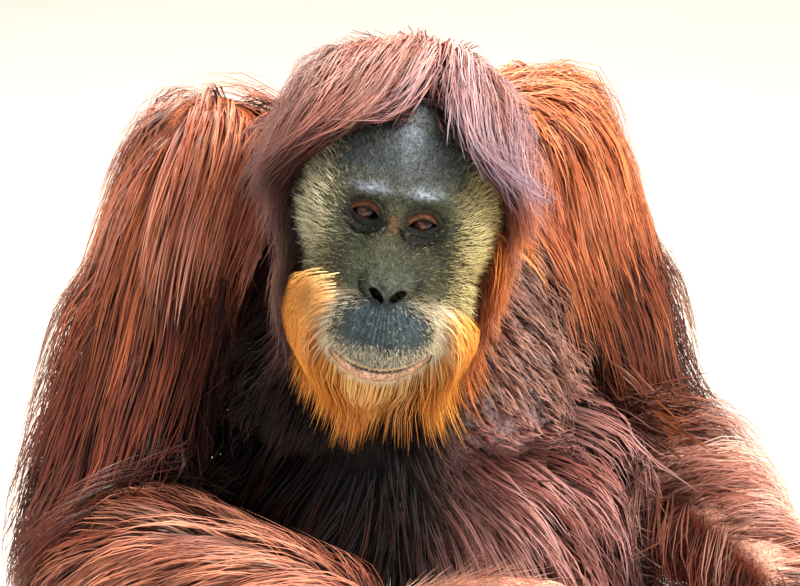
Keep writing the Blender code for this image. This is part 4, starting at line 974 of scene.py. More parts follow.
def region_colours(part, roots, skin_normal):
    """Root, middle and tip colour of the coat at each root."""
    x, y, z = roots.T
    n = len(roots)
    pick = lambda key: np.broadcast_to(COLOURS[key], (n, 3))
    if part == "mantle":
        left = ramp(x, -0.02, 0.06)
        # Painted sunlight on the top of the right shoulder, and on the tips of the mantle's hair on that side
        reddish = mix(pick("arm"), pick("painted_sunlight"), 0.30 * ramp(-x, 0.04, 0.09))
        lot = 0.5 + 0.5 * np.sin(roots.sum(1) * 5000)
        return (mix(pick("arm_root"), pick("shoulder_root"), left), mix(reddish, pick("shoulder"), left),
                mix(mix(pick("painted_sunlight"), pick("shoulder"), 0.8 * left), mix(pick("arm"), pick("shoulder"), left), 0.8 * lot))
    if part == "trunk":
        front = ramp(-0.05 - y, -0.02, 0.05)
        high = ramp(z, 0.40, 0.46)
        # Painted shadow: the front of the chest and belly is darkened to near black over its middle and right side,
        # under the head and beard, and again in the hollow beside the left arm; the shadow turns towards the arm's red
        # at the right flank and up the chest
        shade = np.maximum(1 - ramp(x, 0.004, 0.095), 0.85 * ramp(x, 0.135, 0.165))
        red = 0.15 * ramp(-x, 0.05, 0.11) + 0.30 * ramp(z, 0.50, 0.56)
        dark, dim = mix(pick("belly_painted_shadow"), pick("arm_root"), red), mix(pick("belly_painted_shadow_tip"), pick("arm"), red)
        root = mix(pick("back_root"), mix(pick("belly_root"), pick("chest_root"), high), front)
        middle = mix(mix(pick("belly"), pick("chest"), high), dark, shade)
        tip = mix(mix(pick("belly_tip"), pick("chest_tip"), high), mix(dim, dark, 0.7 * high), shade)
        side = (1 - 0.55 * ramp(np.abs(x), 0.11, 0.15))[:, None]
        behind, behind_tip = pick("back") * side, pick("back_tip") * side
        return mix(root, pick("belly_painted_shadow"), shade * front), mix(behind, middle, front), mix(behind_tip, tip, front)
    if part.startswith("upper_arm"):
        left = part.endswith("left")
        z = z + 0.038 * np.sin(roots.sum(1) * 7000)
        # Painted light and shade: towards the shoulder the hair turns to the shoulder's orange and, at the very top, to
        # a painted sunlit highlight; on the side facing the body and low down it is darkened as painted shade, and
        # below the shoulder it is darkened further, most on the left arm
        bright = ramp(z, 0.50, 0.64) * (1.0 if left else 0.62)
        inner = ramp(skin_normal[:, 0] * (-1 if left else 1), 0.0, 0.7) * (1 - ramp(z, 0.56, 0.64))
        inner = np.clip(inner + 0.30 * (1 - ramp(z, 0.38, 0.50)), 0, 1) * (0.7 if left else 1.0)
        root = mix(mix(pick("arm_root"), pick("shoulder_root"), bright), pick("inner") * 0.4, inner)
        middle = mix(mix(pick("arm"), pick("shoulder"), bright), pick("inner"), inner)
        high = mix(pick("shoulder"), pick("painted_sunlight"), (0.4 if left else 0.90) * ramp(z, 0.58, 0.66))
        tone = 1 - (0.58 if left else 0.30) * (1 - ramp(z, 0.54, 0.62))[:, None]
        tone = tone * (1 - (0.35 if left else 0.0) * (1 - ramp(z, 0.38, 0.44))[:, None])
        return root, middle * tone, mix(mix(pick("arm_tip"), high, bright), pick("arm"), 0.8 * inner) * tone
    if part.startswith("forearm"):
        # Painted light: the forearm's hair turns paler and salmon where its skin faces up, and on the left forearm
        # where it faces out to the animal's left, short of its outermost side
        light = ramp(skin_normal[:, 2] + 0.8 * skin_normal[:, 0] * part.endswith("left"), -0.2, 0.7)
        if part.endswith("left"):
            light = light * (1 - 0.45 * ramp(skin_normal[:, 0], 0.45, 0.85))
            pale = mix(pick("arm_tip"), pick("arm_light"), light)
            return mix(pick("arm_root"), pick("fore"), light), mix(pick("arm"), pick("arm_light"), light), pale
        return pick("arm_root"), mix(pick("arm"), pick("fore"), light), mix(pick("arm_tip"), pick("fore"), light)
    if part.startswith(("hand", "foot")):
        return pick("fore"), pick("hand"), pick("hand")
    return pick("leg_root"), pick("leg"), pick("leg_tip")


def strand_tints(root, middle, tip, owner, segments, chance, dark, between=0.26, within=0.12):
    """Colours along each tuft, with its guide's and its own chance of being lighter or darker."""
    t = np.linspace(0, 1, segments + 1)[None, :, None]
    root, middle, tip = root[owner][:, None, :], middle[owner][:, None, :], tip[owner][:, None, :]
    tints = np.where(t < 0.4, root + (middle - root) * (t / 0.4), middle + (tip - middle) * ((t - 0.4) / 0.6))
    group = np.exp(chance.normal(0, between * (0.4 + 0.6 * dark), owner.max() + 1))[owner]
    own = np.exp(chance.normal(0, within, len(owner)))
    tints = tints * (group * own)[:, None, None]
    # One lock in four is of the darker under-coat, and redder
    under = dark * ramp(chance.random(owner.max() + 1), 0.30, 0.16)[owner][:, None, None]
    tints = tints * (1 + under * (np.array((0.66, 0.46, 0.42)) - 1))
    marks = np.repeat(chance.random(len(owner))[:, None, None], segments + 1, axis=1)
    return np.concatenate([np.clip(tints, 0, 1), marks], axis=2)


# Materials

def new_material(name):
    made = bpy.data.materials.new(name)
    made.use_nodes = True
    tree = made.node_tree
    return made, tree, tree.nodes["Principled BSDF"]


def hair_material(name, roughness, sheen, streaks, gloss=0.45):
    """Hair keeps its own tint, and is glossy along its length without shining like plastic."""
    made, tree, shader = new_material(name)
    tint = add(tree, "ShaderNodeAttribute", {"attribute_name": "tint"})
    rim = add(tree, "ShaderNodeAttribute", {"attribute_name": "rim"})
    run = add(tree, "ShaderNodeAttribute", {"attribute_name": "run"})
    # Single hairs within a tuft, about 0.4 mm wide: streaks across it that run its whole length
    across = add(tree, "ShaderNodeMath", {"operation": "MULTIPLY"}, i0=rim.outputs["Fac"], i1=streaks)
    which = add(tree, "ShaderNodeMath", {"operation": "MULTIPLY"}, i0=tint.outputs["Alpha"], i1=700.0)
    place = add(tree, "ShaderNodeCombineXYZ", X=across.outputs[0], Y=which.outputs[0], Z=run.outputs["Fac"])
    noise = add(tree, "ShaderNodeTexNoise", Vector=place.outputs[0], Scale=1.0, Detail=1.0)
    change = add(tree, "ShaderNodeMapRange", Value=noise.outputs[0], From_Min=0.30, From_Max=0.70, To_Min=0.74, To_Max=1.26)
    colour = add(tree, "ShaderNodeVectorMath", {"operation": "SCALE"}, i0=tint.outputs["Color"], Scale=change.outputs[0])
    tree.links.new(colour.outputs[0], shader.inputs["Base Color"])
    shader.inputs["Roughness"].default_value = roughness
    shader.inputs["Specular IOR Level"].default_value = gloss
    shader.inputs["Sheen Weight"].default_value = sheen
    shader.inputs["Sheen Roughness"].default_value = 0.45
    shader.inputs["Sheen Tint"].default_value = (*linear("#F0CCC6"), 1.0)
    return made


def skin_material():
    """Bare ape skin: leathery, finely creased and pored, a little oily, tinted by place."""
    made, tree, shader = new_material("ape_skin")
    tint = add(tree, "ShaderNodeAttribute", {"attribute_name": "tint"})
    coordinates = add(tree, "ShaderNodeTexCoord")
    place = coordinates.outputs["Object"]
    blotch = add(tree, "ShaderNodeTexNoise", Vector=place, Scale=130.0, Detail=6.0, Roughness=0.72)
    change = add(tree, "ShaderNodeMapRange", Value=blotch.outputs[0], From_Min=0.30, From_Max=0.70, To_Min=0.45, To_Max=1.70)
    speck = add(tree, "ShaderNodeTexVoronoi", Vector=place, Scale=380.0)
    dots = add(tree, "ShaderNodeMapRange", Value=speck.outputs["Distance"], From_Min=0.10, From_Max=0.60, To_Min=0.40, To_Max=1.45)
    both = add(tree, "ShaderNodeMath", {"operation": "MULTIPLY"}, i0=change.outputs[0], i1=dots.outputs[0])
    colour = add(tree, "ShaderNodeVectorMath", {"operation": "SCALE"}, i0=tint.outputs["Color"], Scale=both.outputs[0])
    tree.links.new(colour.outputs[0], shader.inputs["Base Color"])
    # Creases about 2.5 mm apart and pores of 0.8 mm, drawn coarse enough to show
    crease = add(tree, "ShaderNodeTexVoronoi", {"feature": "DISTANCE_TO_EDGE"}, Vector=place, Scale=380.0)
    grain = add(tree, "ShaderNodeTexNoise", Vector=place, Scale=1100.0, Detail=3.0)
    lines = add(tree, "ShaderNodeMapRange", Value=crease.outputs["Distance"], From_Min=0.0, From_Max=0.25, To_Min=0.0, To_Max=1.0)
    height = add(tree, "ShaderNodeMath", {"operation": "MULTIPLY_ADD"}, i0=grain.outputs[0], i1=0.6, i2=lines.outputs[0])
    bump = add(tree, "ShaderNodeBump", Height=height.outputs[0], Strength=0.65, Distance=0.0006)
    tree.links.new(bump.outputs[0], shader.inputs["Normal"])
    rough = add(tree, "ShaderNodeMapRange", Value=blotch.outputs[0], From_Min=0.3, From_Max=0.7, To_Min=0.50, To_Max=0.72)
    tree.links.new(rough.outputs[0], shader.inputs["Roughness"])
    shader.inputs["Specular IOR Level"].default_value = 0.28
    shader.inputs["Subsurface Weight"].default_value = 0.05
    shader.inputs["Subsurface Radius"].default_value = (0.004, 0.0015, 0.001)
    shader.inputs["Subsurface Scale"].default_value = 1.0
    return made


def eye_material():
    """A wet eyeball: dark brown white, red-brown iris with fine rays, black pupil, clear gloss."""
    made, tree, shader = new_material("wet_eye")
    tint = add(tree, "ShaderNodeAttribute", {"attribute_name": "tint"})
    coordinates = add(tree, "ShaderNodeTexCoord")
    noise = add(tree, "ShaderNodeTexNoise", Vector=coordinates.outputs["Object"], Scale=900.0, Detail=3.0)
    change = add(tree, "ShaderNodeMapRange", Value=noise.outputs[0], From_Min=0.3, From_Max=0.7, To_Min=0.7, To_Max=1.3)
    colour = add(tree, "ShaderNodeVectorMath", {"operation": "SCALE"}, i0=tint.outputs["Color"], Scale=change.outputs[0])
    tree.links.new(colour.outputs[0], shader.inputs["Base Color"])
    shader.inputs["Roughness"].default_value = 0.22
    shader.inputs["Specular IOR Level"].default_value = 0.25
    shader.inputs["Coat Weight"].default_value = 0.55
    shader.inputs["Coat Roughness"].default_value = 0.03
    return made


def nail_material():
    """Dark horn: smooth, faintly ridged, with a dull polish."""
    made, tree, shader = new_material("dark_horn_nail")
    coordinates = add(tree, "ShaderNodeTexCoord")
    noise = add(tree, "ShaderNodeTexNoise", Vector=coordinates.outputs["Object"], Scale=260.0, Detail=3.0)
    colours = add(tree, "ShaderNodeValToRGB", Fac=noise.outputs[0])
    colours.color_ramp.elements[0].color = (*linear("#17110E"), 1.0)
    colours.color_ramp.elements[1].color = (*linear("#4A3A30"), 1.0)
    tree.links.new(colours.outputs[0], shader.inputs["Base Color"])
    bump = add(tree, "ShaderNodeBump", Height=noise.outputs[0], Strength=0.3, Distance=0.0003)
    tree.links.new(bump.outputs[0], shader.inputs["Normal"])
    shader.inputs["Roughness"].default_value = 0.35
    return made


def floor_material():
    made, tree, shader = new_material("pale_studio_floor")
    coordinates = add(tree, "ShaderNodeTexCoord")
    noise = add(tree, "ShaderNodeTexNoise", Vector=coordinates.outputs["Object"], Scale=3.0, Detail=3.0)
    colours = add(tree, "ShaderNodeValToRGB", Fac=noise.outputs[0])
    colours.color_ramp.elements[0].color = (*linear("#D6D3CC"), 1.0)
    colours.color_ramp.elements[1].color = (*linear("#DEDBD5"), 1.0)
    tree.links.new(colours.outputs[0], shader.inputs["Base Color"])
    shader.inputs["Roughness"].default_value = 0.8
    return made


# Markings of the skin

# Among these, the brow's pale blue is a painted highlight, and the near-black socket, nostril and mouth colours are
# laid also as painted shade in hollows and creases, under the nose and along the hairline.
SKIN_COLOURS = {key: linear(value) for key, value in {
    "under_coat": "#2A1712", "throat": "#8A7C84", "palm": "#3A2C28", "hand": "#D89C86",
    "face": "#3A3E2E", "forehead": "#3A4044", "brow": "#94A0B2", "lid": "#5C3216", "socket": "#050604",
    "bridge": "#7A5230", "nose": "#3E443C", "nostril": "#050507", "lip": "#38464C", "lip_low": "#5E665E",
    "rim": "#D8A868", "lower_lip": "#BC9880", "lower_rim": "#CC8A54", "cheek": "#5A5638", "mouth": "#120A0A",
    "scalp": "#241410", "chin": "#C07A34",
}.items()}


def paint_face(local):
    """Colours of the bare head, in its own frame."""
    full_x, y, z = local.T
    x = full_x - MUZZLE_SHIFT * ramp(-z, 0.015, 0.040)
    scalp, beard, face, lips = head_zones(local)
    colour = np.tile(SKIN_COLOURS["face"], (len(local), 1))

    def lay(key, share):
        nonlocal colour
        colour = mix(colour, SKIN_COLOURS[key], np.clip(share, 0, 1))

    lay("forehead", ramp(z, 0.022, 0.045))
    lay("cheek", ramp(np.abs(x), 0.040, 0.066) * ramp(0.05 - z, 0, 0.05))
    # Pale bluish painted highlights on the brow ridges, and a fainter one in the middle of the forehead
    lay("brow", 0.75 * np.exp(-((np.abs(x) - 0.022) / 0.014) ** 2 - ((z - 0.0255) / 0.0045) ** 2))
    lay("brow", 0.28 * np.exp(-((x - 0.006) / 0.010) ** 2 - ((z - 0.068) / 0.020) ** 2))
    lay("bridge", 0.6 * np.exp(-(x / 0.008) ** 2 - ((z + 0.003) / 0.008) ** 2))
    oval = np.hypot(x / 0.080, (z + 0.002) / 0.082)
    # Painted shadow along the hairline beside the parting's notch, and near-black painted shade in the notch and on the
    # scalp above it
    lay("mouth", 0.85 * ramp(oval, 0.84, 1.0) * ramp(z, 0.020, 0.050) * ramp(np.abs(x - 0.010), 0.008, 0.020))
    lay("mouth", 0.9 * ramp(z, 0.088, 0.098))
    # Painted shade: the face's left side below the brow is darkened by up to half
    colour = colour * (1 - 0.52 * ramp(x, 0.000, 0.026) * ramp(0.020 - z, 0, 0.02))[:, None]
    # Round each eye: near-black skin over the socket and a darker crescent below it, partly the skin's own colour and
    # partly painted shade under the brow; orange-brown upper lids; black painted shade inside the opening
    for side, sign in (("left", 1), ("right", -1)):
        dx, dz = x - sign * EYE_X, z - EYE_Z[side]
        ring = np.hypot(dx, dz * 1.1)
        lay("socket", 0.90 * np.exp(-(ring / 0.0205) ** 4))
        lay("socket", 0.92 * np.exp(-((ring - 0.0155) / 0.0055) ** 2) * ramp(-dz, -0.003, 0.004))
        lay("lid", 0.85 * np.exp(-((ring - 0.0085) / 0.0036) ** 2) * ramp(dz, -0.002, 0.003))
        lay("socket", 0.9 * (1 - ramp(almond(x, z, side), 1.10, 1.5)))
        lay("mouth", 1 - ramp(almond(x, z, side), 0.9, 1.12))
    lay("nose", np.exp(-(x / 0.021) ** 4 - ((z + 0.045) / 0.012) ** 4))
    # Painted shade in the crease round the nose pad's wings
    wing = np.hypot(x / 0.0215, (z + 0.0455) / 0.0125)
    lay("nostril", 0.75 * np.exp(-((wing - 1.16) / 0.13) ** 2) * ramp(np.abs(x), 0.008, 0.013) * ramp(-z, 0.036, 0.046))
    muzzle = np.hypot(x / 0.042, (z + 0.088) / 0.042)
    lay("lip", (1 - ramp(muzzle, 0.55, 1.2)) * ramp(-z, 0.050, 0.060))
    lay("lip_low", 0.8 * ramp(-z, 0.090, 0.112) * (1 - ramp(muzzle, 0.9, 1.2)))
    # Painted shade in the folds that run down the upper lip
    fan = np.arctan2(x, -(z + 0.030))
    lay("nostril", 0.45 * ramp(np.sin(78 * fan + 2.1 * np.sin(11 * fan)), 0.2, 1.0)
        * ramp(-z, 0.056, 0.066) * ramp(z, -0.112, -0.085) * ramp(0.030 - np.abs(x), 0, 0.02))
    # The nostrils painted black as shade inside them, and a painted shadow under the nose
    for side in (1, -1):
        lay("nostril", 1 - ramp(nostril_share(x, z, side), 0.95, 1.25))
    lay("nostril", 0.75 * np.exp(-(x / 0.013) ** 4 - ((z + 0.0605) / 0.0042) ** 2))
    share = (full_x - MOUTH_X) / MOUTH_HALF
    drop = z - mouth_line(full_x)
    along = np.sqrt(np.clip(1 - share ** 2, 0, 1))
    lay("rim", 0.75 * np.exp(-((drop - 0.0028) / 0.0014) ** 2) * ramp(along, 0, 0.6))
    lay("lower_lip", ramp(along, 0.1, 0.5) * np.exp(-((drop + 0.0074 * along) / 0.0066) ** 4))
    lay("lower_rim", 0.9 * ramp(along, 0.1, 0.6) * np.exp(-((drop + 0.0150 * along) / 0.0030) ** 2))
    # Painted shade in the crease under the lower lip and in the slit between the lips
    lay("socket", 0.7 * ramp(along, 0.1, 0.6) * np.exp(-((drop + 0.0182 * along) / 0.0010) ** 2))
    lay("mouth", np.exp(-(drop / 0.0013) ** 2) * ramp(1.05 - np.abs(share), 0, 0.08))
    lay("chin", beard)
    lay("scalp", scalp)
    return colour


def paint_skin(skin_obj, skin):
    points, weights = skin.points, skin.weights
    x, y, z = points.T
    colour = np.zeros((len(points), 3))
    for i, part in enumerate(PARTS):
        tones = (crown_colours if part == "head" else region_colours)(part, points, skin.normals)
        share = (0.45, 0.12) if part == "head" else (0.35, 0.40)
        colour += weights[i][:, None] * (tones[0] * share[0] + tones[1] * share[1])
    throat = 0.5 * weights[0] * ramp(z, 0.38, 0.46) * ramp(-0.06 - y, 0, 0.04) * ramp(0.60 - z, 0, 0.04) * ramp(x, 0.015, 0.05)
    colour = mix(colour, SKIN_COLOURS["throat"], throat)
    for i, part in enumerate(PARTS):
        if part.startswith(("hand", "foot")):
            side = part.rsplit("_", 1)[1]
            back = np.array(HAND_BACK[side]) if part.startswith("hand") else np.array((0, 0, 1.0))
            outer = ramp(skin.normals @ unit(back), -0.2, 0.5)
            colour = mix(colour, mix(np.tile(SKIN_COLOURS["palm"], (len(points), 1)), SKIN_COLOURS["hand"], outer),
                         ramp(weights[i], 0.4, 0.8))
    local = in_head(points)
    colour = mix(colour, paint_face(local), ramp(weights[1], 0.4, 0.7))
    attribute = skin_obj.data.attributes.new("tint", "FLOAT_COLOR", "POINT")
    tints = np.concatenate([colour, np.ones((len(points), 1))], axis=1)
    attribute.data.foreach_set("color", tints.astype(np.float32).ravel())


# Eyes and nails

def eyeball(side):
    """An eyeball with its cornea's bulge, turned to its gaze, tinted as iris, pupil and dark white."""
    sign = 1 if side == "left" else -1
    gaze = Vector((-0.26, -1.0, -0.10)).normalized()
    bm = bmesh.new()
    bmesh.ops.create_uvsphere(bm, u_segments=64, v_segments=48, radius=1.0)
    mesh = bpy.data.meshes.new(f"eyeball_{side}")
    bm.to_mesh(mesh)
    bm.free()
    points = points_of(mesh)
    tilt = np.degrees(np.arccos(np.clip(points[:, 2], -1, 1)))
    around = np.arctan2(points[:, 1], points[:, 0])
    cornea = 1 + 0.035 * (1 - ramp(tilt, 8, 30))
    rays = 0.82 + 0.18 * np.sin(around * 23 + 2 * np.sin(around * 7))
    iris, edge = linear("#5C2A14"), linear("#180704")
    colour = mix(np.tile(iris, (len(points), 1)) * rays[:, None], edge, ramp(tilt, 21, 27))
    colour = mix(colour, linear("#150C08"), ramp(tilt, 27, 31))
    colour = mix(colour, linear("#040303"), 1 - ramp(tilt, 8.5, 10.5))
    attribute = mesh.attributes.new("tint", "FLOAT_COLOR", "POINT")
    attribute.data.foreach_set("color", np.concatenate([colour, np.ones((len(points), 1))], 1).astype(np.float32).ravel())
    points = points * cornea[:, None] * (EYE_RADIUS - 0.0002)
    mesh.vertices.foreach_set("co", points.astype(np.float32).ravel())
    mesh.transform(HEAD_MATRIX @ Matrix.Translation((sign * EYE_X, EYE_Y, EYE_Z[side]))
                   @ gaze.to_track_quat("Z", "Y").to_matrix().to_4x4())
    mesh.shade_smooth()
    obj = bpy.data.objects.new(f"eyeball_{side}", mesh)
    bpy.context.scene.collection.objects.link(obj)
    return obj


def nail_plates(nails):
    """A small curved plate on the back of each finger's and toe's end."""
    points, faces = [], []
    across_steps, along_steps = 9, 7
    for tip, aim, back, radius in nails:
        side = aim.cross(back)
        base = len(points)
        for layer, extra in ((0, 0.0012), (1, -0.0010)):
            for i in range(along_steps):
                t = i / (along_steps - 1)
                for j in range(across_steps):
                    a = math.radians(-52 + 104 * j / (across_steps - 1))
                    size = (radius * 1.00 + extra) * (1 - 0.10 * t * t)
                    length = radius * (-0.35 + 1.25 * t - 0.35 * t * (a / 0.9) ** 2)
                    points.append(tip + aim * length + back * size * math.cos(a) * (1 - 0.22 * t) + side * size * math.sin(a))
        top, under = base, base + along_steps * across_steps
        for i in range(along_steps - 1):
            for j in range(across_steps - 1):
                a = i * across_steps + j
                quad = (a, a + 1, a + across_steps + 1, a + across_steps)
                faces.append([top + k for k in quad])
                faces.append([under + k for k in reversed(quad)])
        rim = [j for j in range(across_steps)]
        rim += [(i + 1) * across_steps - 1 for i in range(1, along_steps)]
        rim += [(along_steps - 1) * across_steps + j for j in reversed(range(across_steps - 1))]
        rim += [i * across_steps for i in reversed(range(1, along_steps - 1))]
        for a, b in zip(rim, rim[1:] + rim[:1]):
            faces.append([top + b, top + a, under + a, under + b])
    points = [(p.x, p.y, max(p.z, 0.0015)) for p in points]
    obj = mesh_object("nails", points, faces)
    obj.data.shade_smooth()
    return obj


# The coat

def trimmed(line, ups):
    """Hair of the head cut where it would fall over the open face."""
    inside = np.zeros(line.shape[:2], bool)
    for i in range(2, STEPS + 1):
        x, y, z = in_head(line[i]).T
        low = z + 0.32 * (y - 0.015)
        opening = (np.abs(x) / 0.078) ** 2.4 + (np.abs(low) / 0.083) ** 2.4 < 1
        notch = 0.120 - low > 1.70 * np.abs(x - PARTING_X)
        inside[i] = (opening | (notch & (low > 0.05))) & (y < 0.055) & (low > -0.060)
    last = np.where(inside.any(0), inside.argmax(0) - 0.5, STEPS).astype(float)
    t = np.linspace(0, 1, STEPS + 1)[:, None] * last[None, :]
    low = np.minimum(t.astype(int), STEPS - 1)
    own = np.arange(line.shape[1])[None, :]
    share = (t - low)[..., None]
    return line[low, own] * (1 - share) + line[low + 1, own] * share, ups[low, own]


# Each coat piece: parts it grows on, tufts, tufts to a guide, segments, tuft width, length, depth,
# weight, cling, reach round its guide, clumping, share shorter at most, wave
def coat_piece(name, skin, tree, part, mask, settings, material, chance, colours=None, shape=None):
    """Grows one coat piece over a part of the skin."""
    count, each, segments, width, length, depth, weight, cling, reach, clump, shrink, wave = settings
    guides = max(count // each, 8)
    roots, faces = skin.scatter(mask, guides, chance)
    normal, flow = skin.face_normal[faces], skin.face_flow[faces]
    lengths, depths = np.full(guides, length), np.full(guides, depth)
    weights, clings = np.full(guides, weight), np.full(guides, cling)
    first = unit(flow + normal * 0.50 + chance.normal(0, 0.12, flow.shape))
    if shape is not None:
        lengths, depths, weights, clings, first = shape(roots, normal, flow, lengths, depths, weights, clings, first)
    lengths = lengths * chance.uniform(0.82, 1.12, guides)
    # Most of the hair lies in the coat's outer layer, so that it closes over
    depths = depths * (1 - (0.35 if name == "coat_beard" else 0.60) * chance.random(guides) ** 2.2)
    line, ups = grow(skin, roots, faces, first, lengths, depths, weights, clings, 0.35)
    if part == "head":
        line, ups = trimmed(line, ups)
    lines, leans, owner, share = tufts(skin, line, ups, each, segments, np.full(guides, reach), np.full(guides, clump),
                                       shrink, np.full(guides, wave), chance)
    root, middle, tip = (colours or region_colours)(part, roots, normal)
    dark = 0.0 if name == "coat_beard" else 1.0
    tints = strand_tints(root, middle, tip, owner, segments, chance, dark)
    own = np.exp(chance.normal(0, 0.18, len(owner)))
    # Two of each lock lie under the others, broad, and close the coat to the eye; they are darkened as painted shade
    # under the outer hair
    order = np.arange(len(owner)) % each
    broad = (order < (1 if part == "head" else 2)) & (name != "coat_beard")
    widths = np.array(WIDTHS[segments])[None, :] * (own * np.where(broad, 2.3, 1.0))[:, None]
    tints[broad, :, :3] *= 0.80 if part == "mantle" else 0.68
    s = np.linspace(0, 1, segments + 1)[None, :, None] ** 0.8
    sunk = np.where(order == 0, 0.35, 0.65)[broad] * depths[owner[broad]]
    lines[broad] -= leans[broad] * sunk[:, None, None] * s
    lines[..., 2] = np.maximum(lines[..., 2], 0.002)
    places = place_on_unwrap(part, lines[:, 0])
    obj = hair_piece(name, tree, lines, leans, widths, tints, places, width, 0.30, material)
    return obj


def trunk_mask(skin, front, low, high):
    c = skin.centre
    rows = np.array(TORSO)
    middle = np.interp(c[:, 2], rows[:, 2], rows[:, 1]) - 0.01
    ahead = ramp(middle - c[:, 1], -0.01, 0.01)
    own = (skin.face_part == PARTS.index("trunk")) * (1 - 0.8 * ramp(c[:, 2], 0.58, 0.62))
    return own * (ahead if front else 1 - ahead) * (c[:, 2] > low) * (c[:, 2] <= high) * (c[:, 2] > 0.006)


def mantle_mask(skin):
    """The neck's base and the tops of the shoulders, away from the head's own hair."""
    c = skin.centre
    trunk = (skin.face_part == PARTS.index("trunk")) * ramp(c[:, 2], 0.55, 0.60)
    arms = np.isin(skin.face_part, [PARTS.index("upper_arm_left"), PARTS.index("upper_arm_right")])
    own = np.maximum(trunk, 0.55 * arms * ramp(c[:, 2], 0.60, 0.64))
    local = in_head(c)
    behind = ramp(local[:, 1], 0.08, 0.11)
    clear = ramp(head_share(local), 1.10 - 0.09 * behind, 1.30 - 0.22 * behind)
    return own * clear * (0.06 + 0.94 * ramp(c[:, 1], -0.12, -0.07))


def part_mask(skin, part):
    return ((skin.face_part == PARTS.index(part)) & (skin.centre[:, 2] > 0.006)).astype(float)


def head_masks(skin):
    own = (skin.face_part == PARTS.index("head")).astype(float)
    local = in_head(skin.centre)
    scalp, beard, face, lips = head_zones(local)
    x, y, z = local.T
    ear_like = (head_share(local) > 1.06) & (np.abs(x) > 0.074) & (np.abs(z - 0.004) < 0.03) & (y < 0.115)
    whorl = 1 + 2.5 * np.exp(-(np.linalg.norm(local - np.array(CROWN), axis=1) / 0.035) ** 2)
    return own * scalp * whorl * ~ear_like, own * beard * ~ear_like, own * face * ~ear_like, local, lips


def skin_front(skin):
    """Share of the crown's hair that falls forward or to the sides, against that of the nape."""
    return ramp(0.118 - in_head(skin.centre)[:, 1], -0.006, 0.006)


def trunk_shape(roots, normal, flow, lengths, depths, weights, clings, first):
    """Hair of the trunk: fuller on the flanks, short above the breast's fold and fuller below it."""
    x, y, z = roots.T
    front = normal[:, 1] < 0
    flank = ramp(np.abs(x), 0.09, 0.145) * ramp(z, 0.10, 0.20) * (1 - ramp(z, 0.52, 0.58))
    fold = front * ramp(x, 0.02, 0.06)
    above = fold * ramp(z, 0.420, 0.430) * (1 - ramp(z, 0.44, 0.49))
    below = fold * ramp(z, 0.370, 0.405) * (1 - ramp(z, 0.420, 0.430))
    lengths = lengths * (1 - 0.55 * above)
    clings = clings + 0.35 * flank
    depths = depths * (1 - 0.60 * above + 0.25 * below + flank * np.where(x < 0, 1.5, 0.9))
    return lengths, depths, weights, clings, unit(flow + normal * (0.30 + 0.15 * below + 0.10 * (z < 0.42))[:, None])


def mantle_shape(roots, normal, flow, lengths, depths, weights, clings, first):
    """The mantle of long hair from the neck out over the shoulders, highest between head and arm."""
    side = np.abs(roots[:, 0])
    fill = np.exp(-((roots[:, 0] + 0.095) / 0.026) ** 2) * ramp(roots[:, 2], 0.60, 0.64)
    depths = depths * (0.60 + 0.40 * ramp(side, 0.04, 0.09)) * (1 + 0.45 * ramp(-roots[:, 0], 0.03, 0.08) + 0.60 * fill)
    lengths = lengths * (0.92 + 0.28 * np.sin(roots.sum(1) * 7000))
    return lengths, depths, weights, clings, unit(flow + normal * 0.22)


def arm_shape(roots, normal, flow, lengths, depths, weights, clings, first):
    """Hair of the shoulder lies flat, that of the elbow hangs in a fringe."""
    top = ramp(roots[:, 2], 0.54, 0.62)
    low = ramp(0.44 - roots[:, 2], 0, 0.10)
    left = roots[:, 0].mean() > 0
    inner = ramp(normal[:, 0] * (-1 if left else 1), 0.2, 0.8) * (1 - top)
    depths = depths * (1 - 0.45 * top + 0.12 * low + 0.40 * inner)
    clings = clings + 0.35 * top + 0.25 * low
    return lengths * (1 + 0.15 * low), depths, weights, clings, unit(flow + normal * (0.42 - 0.24 * top)[:, None])


def forearm_shape(roots, normal, flow, lengths, depths, weights, clings, first):
    """Hair of the forearm is fullest near the elbow, and sweeps out and down from its ridge."""
    side = "left" if roots[:, 0].mean() > 0 else "right"
    near = 1 - ramp(along_bone(f"forearm_{side}", roots)[0], 0.10, 0.75)
    full = 0.9 if side == "left" else 0.3
    ridge = np.exp(-((normal[:, 0] + 0.70) / 0.25) ** 2) * (side == "left")
    flow = flow + np.sin(roots.sum(1) * 9000)[:, None] * ridge[:, None] * np.array((0.9, 0, 0.1))
    return lengths * (1 + 0.15 * near), depths * (0.8 + full * near), weights, clings, unit(flow + normal * 0.35)


def crown_shape(roots, normal, flow, lengths, depths, weights, clings, first):
    """Hair of the head: long from the crown, flung out to the left, shorter and lower at its back."""
    local = in_head(roots)
    x, y, z = local.T
    ahead = ramp(0.075 - y, 0, 0.04)
    high = ramp(z, 0.02, 0.09)
    left = ramp(x, -0.01, 0.03)
    hairline = ramp(0.045 - y, 0, 0.02) * ramp(z, 0.03, 0.06)
    whorl = 1 - ramp(np.linalg.norm(local - np.array(CROWN), axis=1), 0.015, 0.070)
    lengths = lengths * (0.68 + 0.32 * high) * (1 - 0.40 * hairline + 0.30 * hairline * left)
    aside = ramp(-x, 0.010, 0.045) * high
    depths = depths * (0.60 + 0.40 * high) * (1 - 0.25 * hairline) * (1 - 0.65 * whorl) * (1 + 0.35 * aside)
    lengths = lengths * (1 - 0.16 * left * high)
    high = high * (1 - whorl)
    weights = weights * (1 - 0.5 * left * high * ahead)
    clings = clings * (1 - 0.5 * left * ahead)
    return lengths, depths, weights, clings, unit(flow + normal * (0.32 + 0.22 * high - 0.22 * whorl)[:, None])


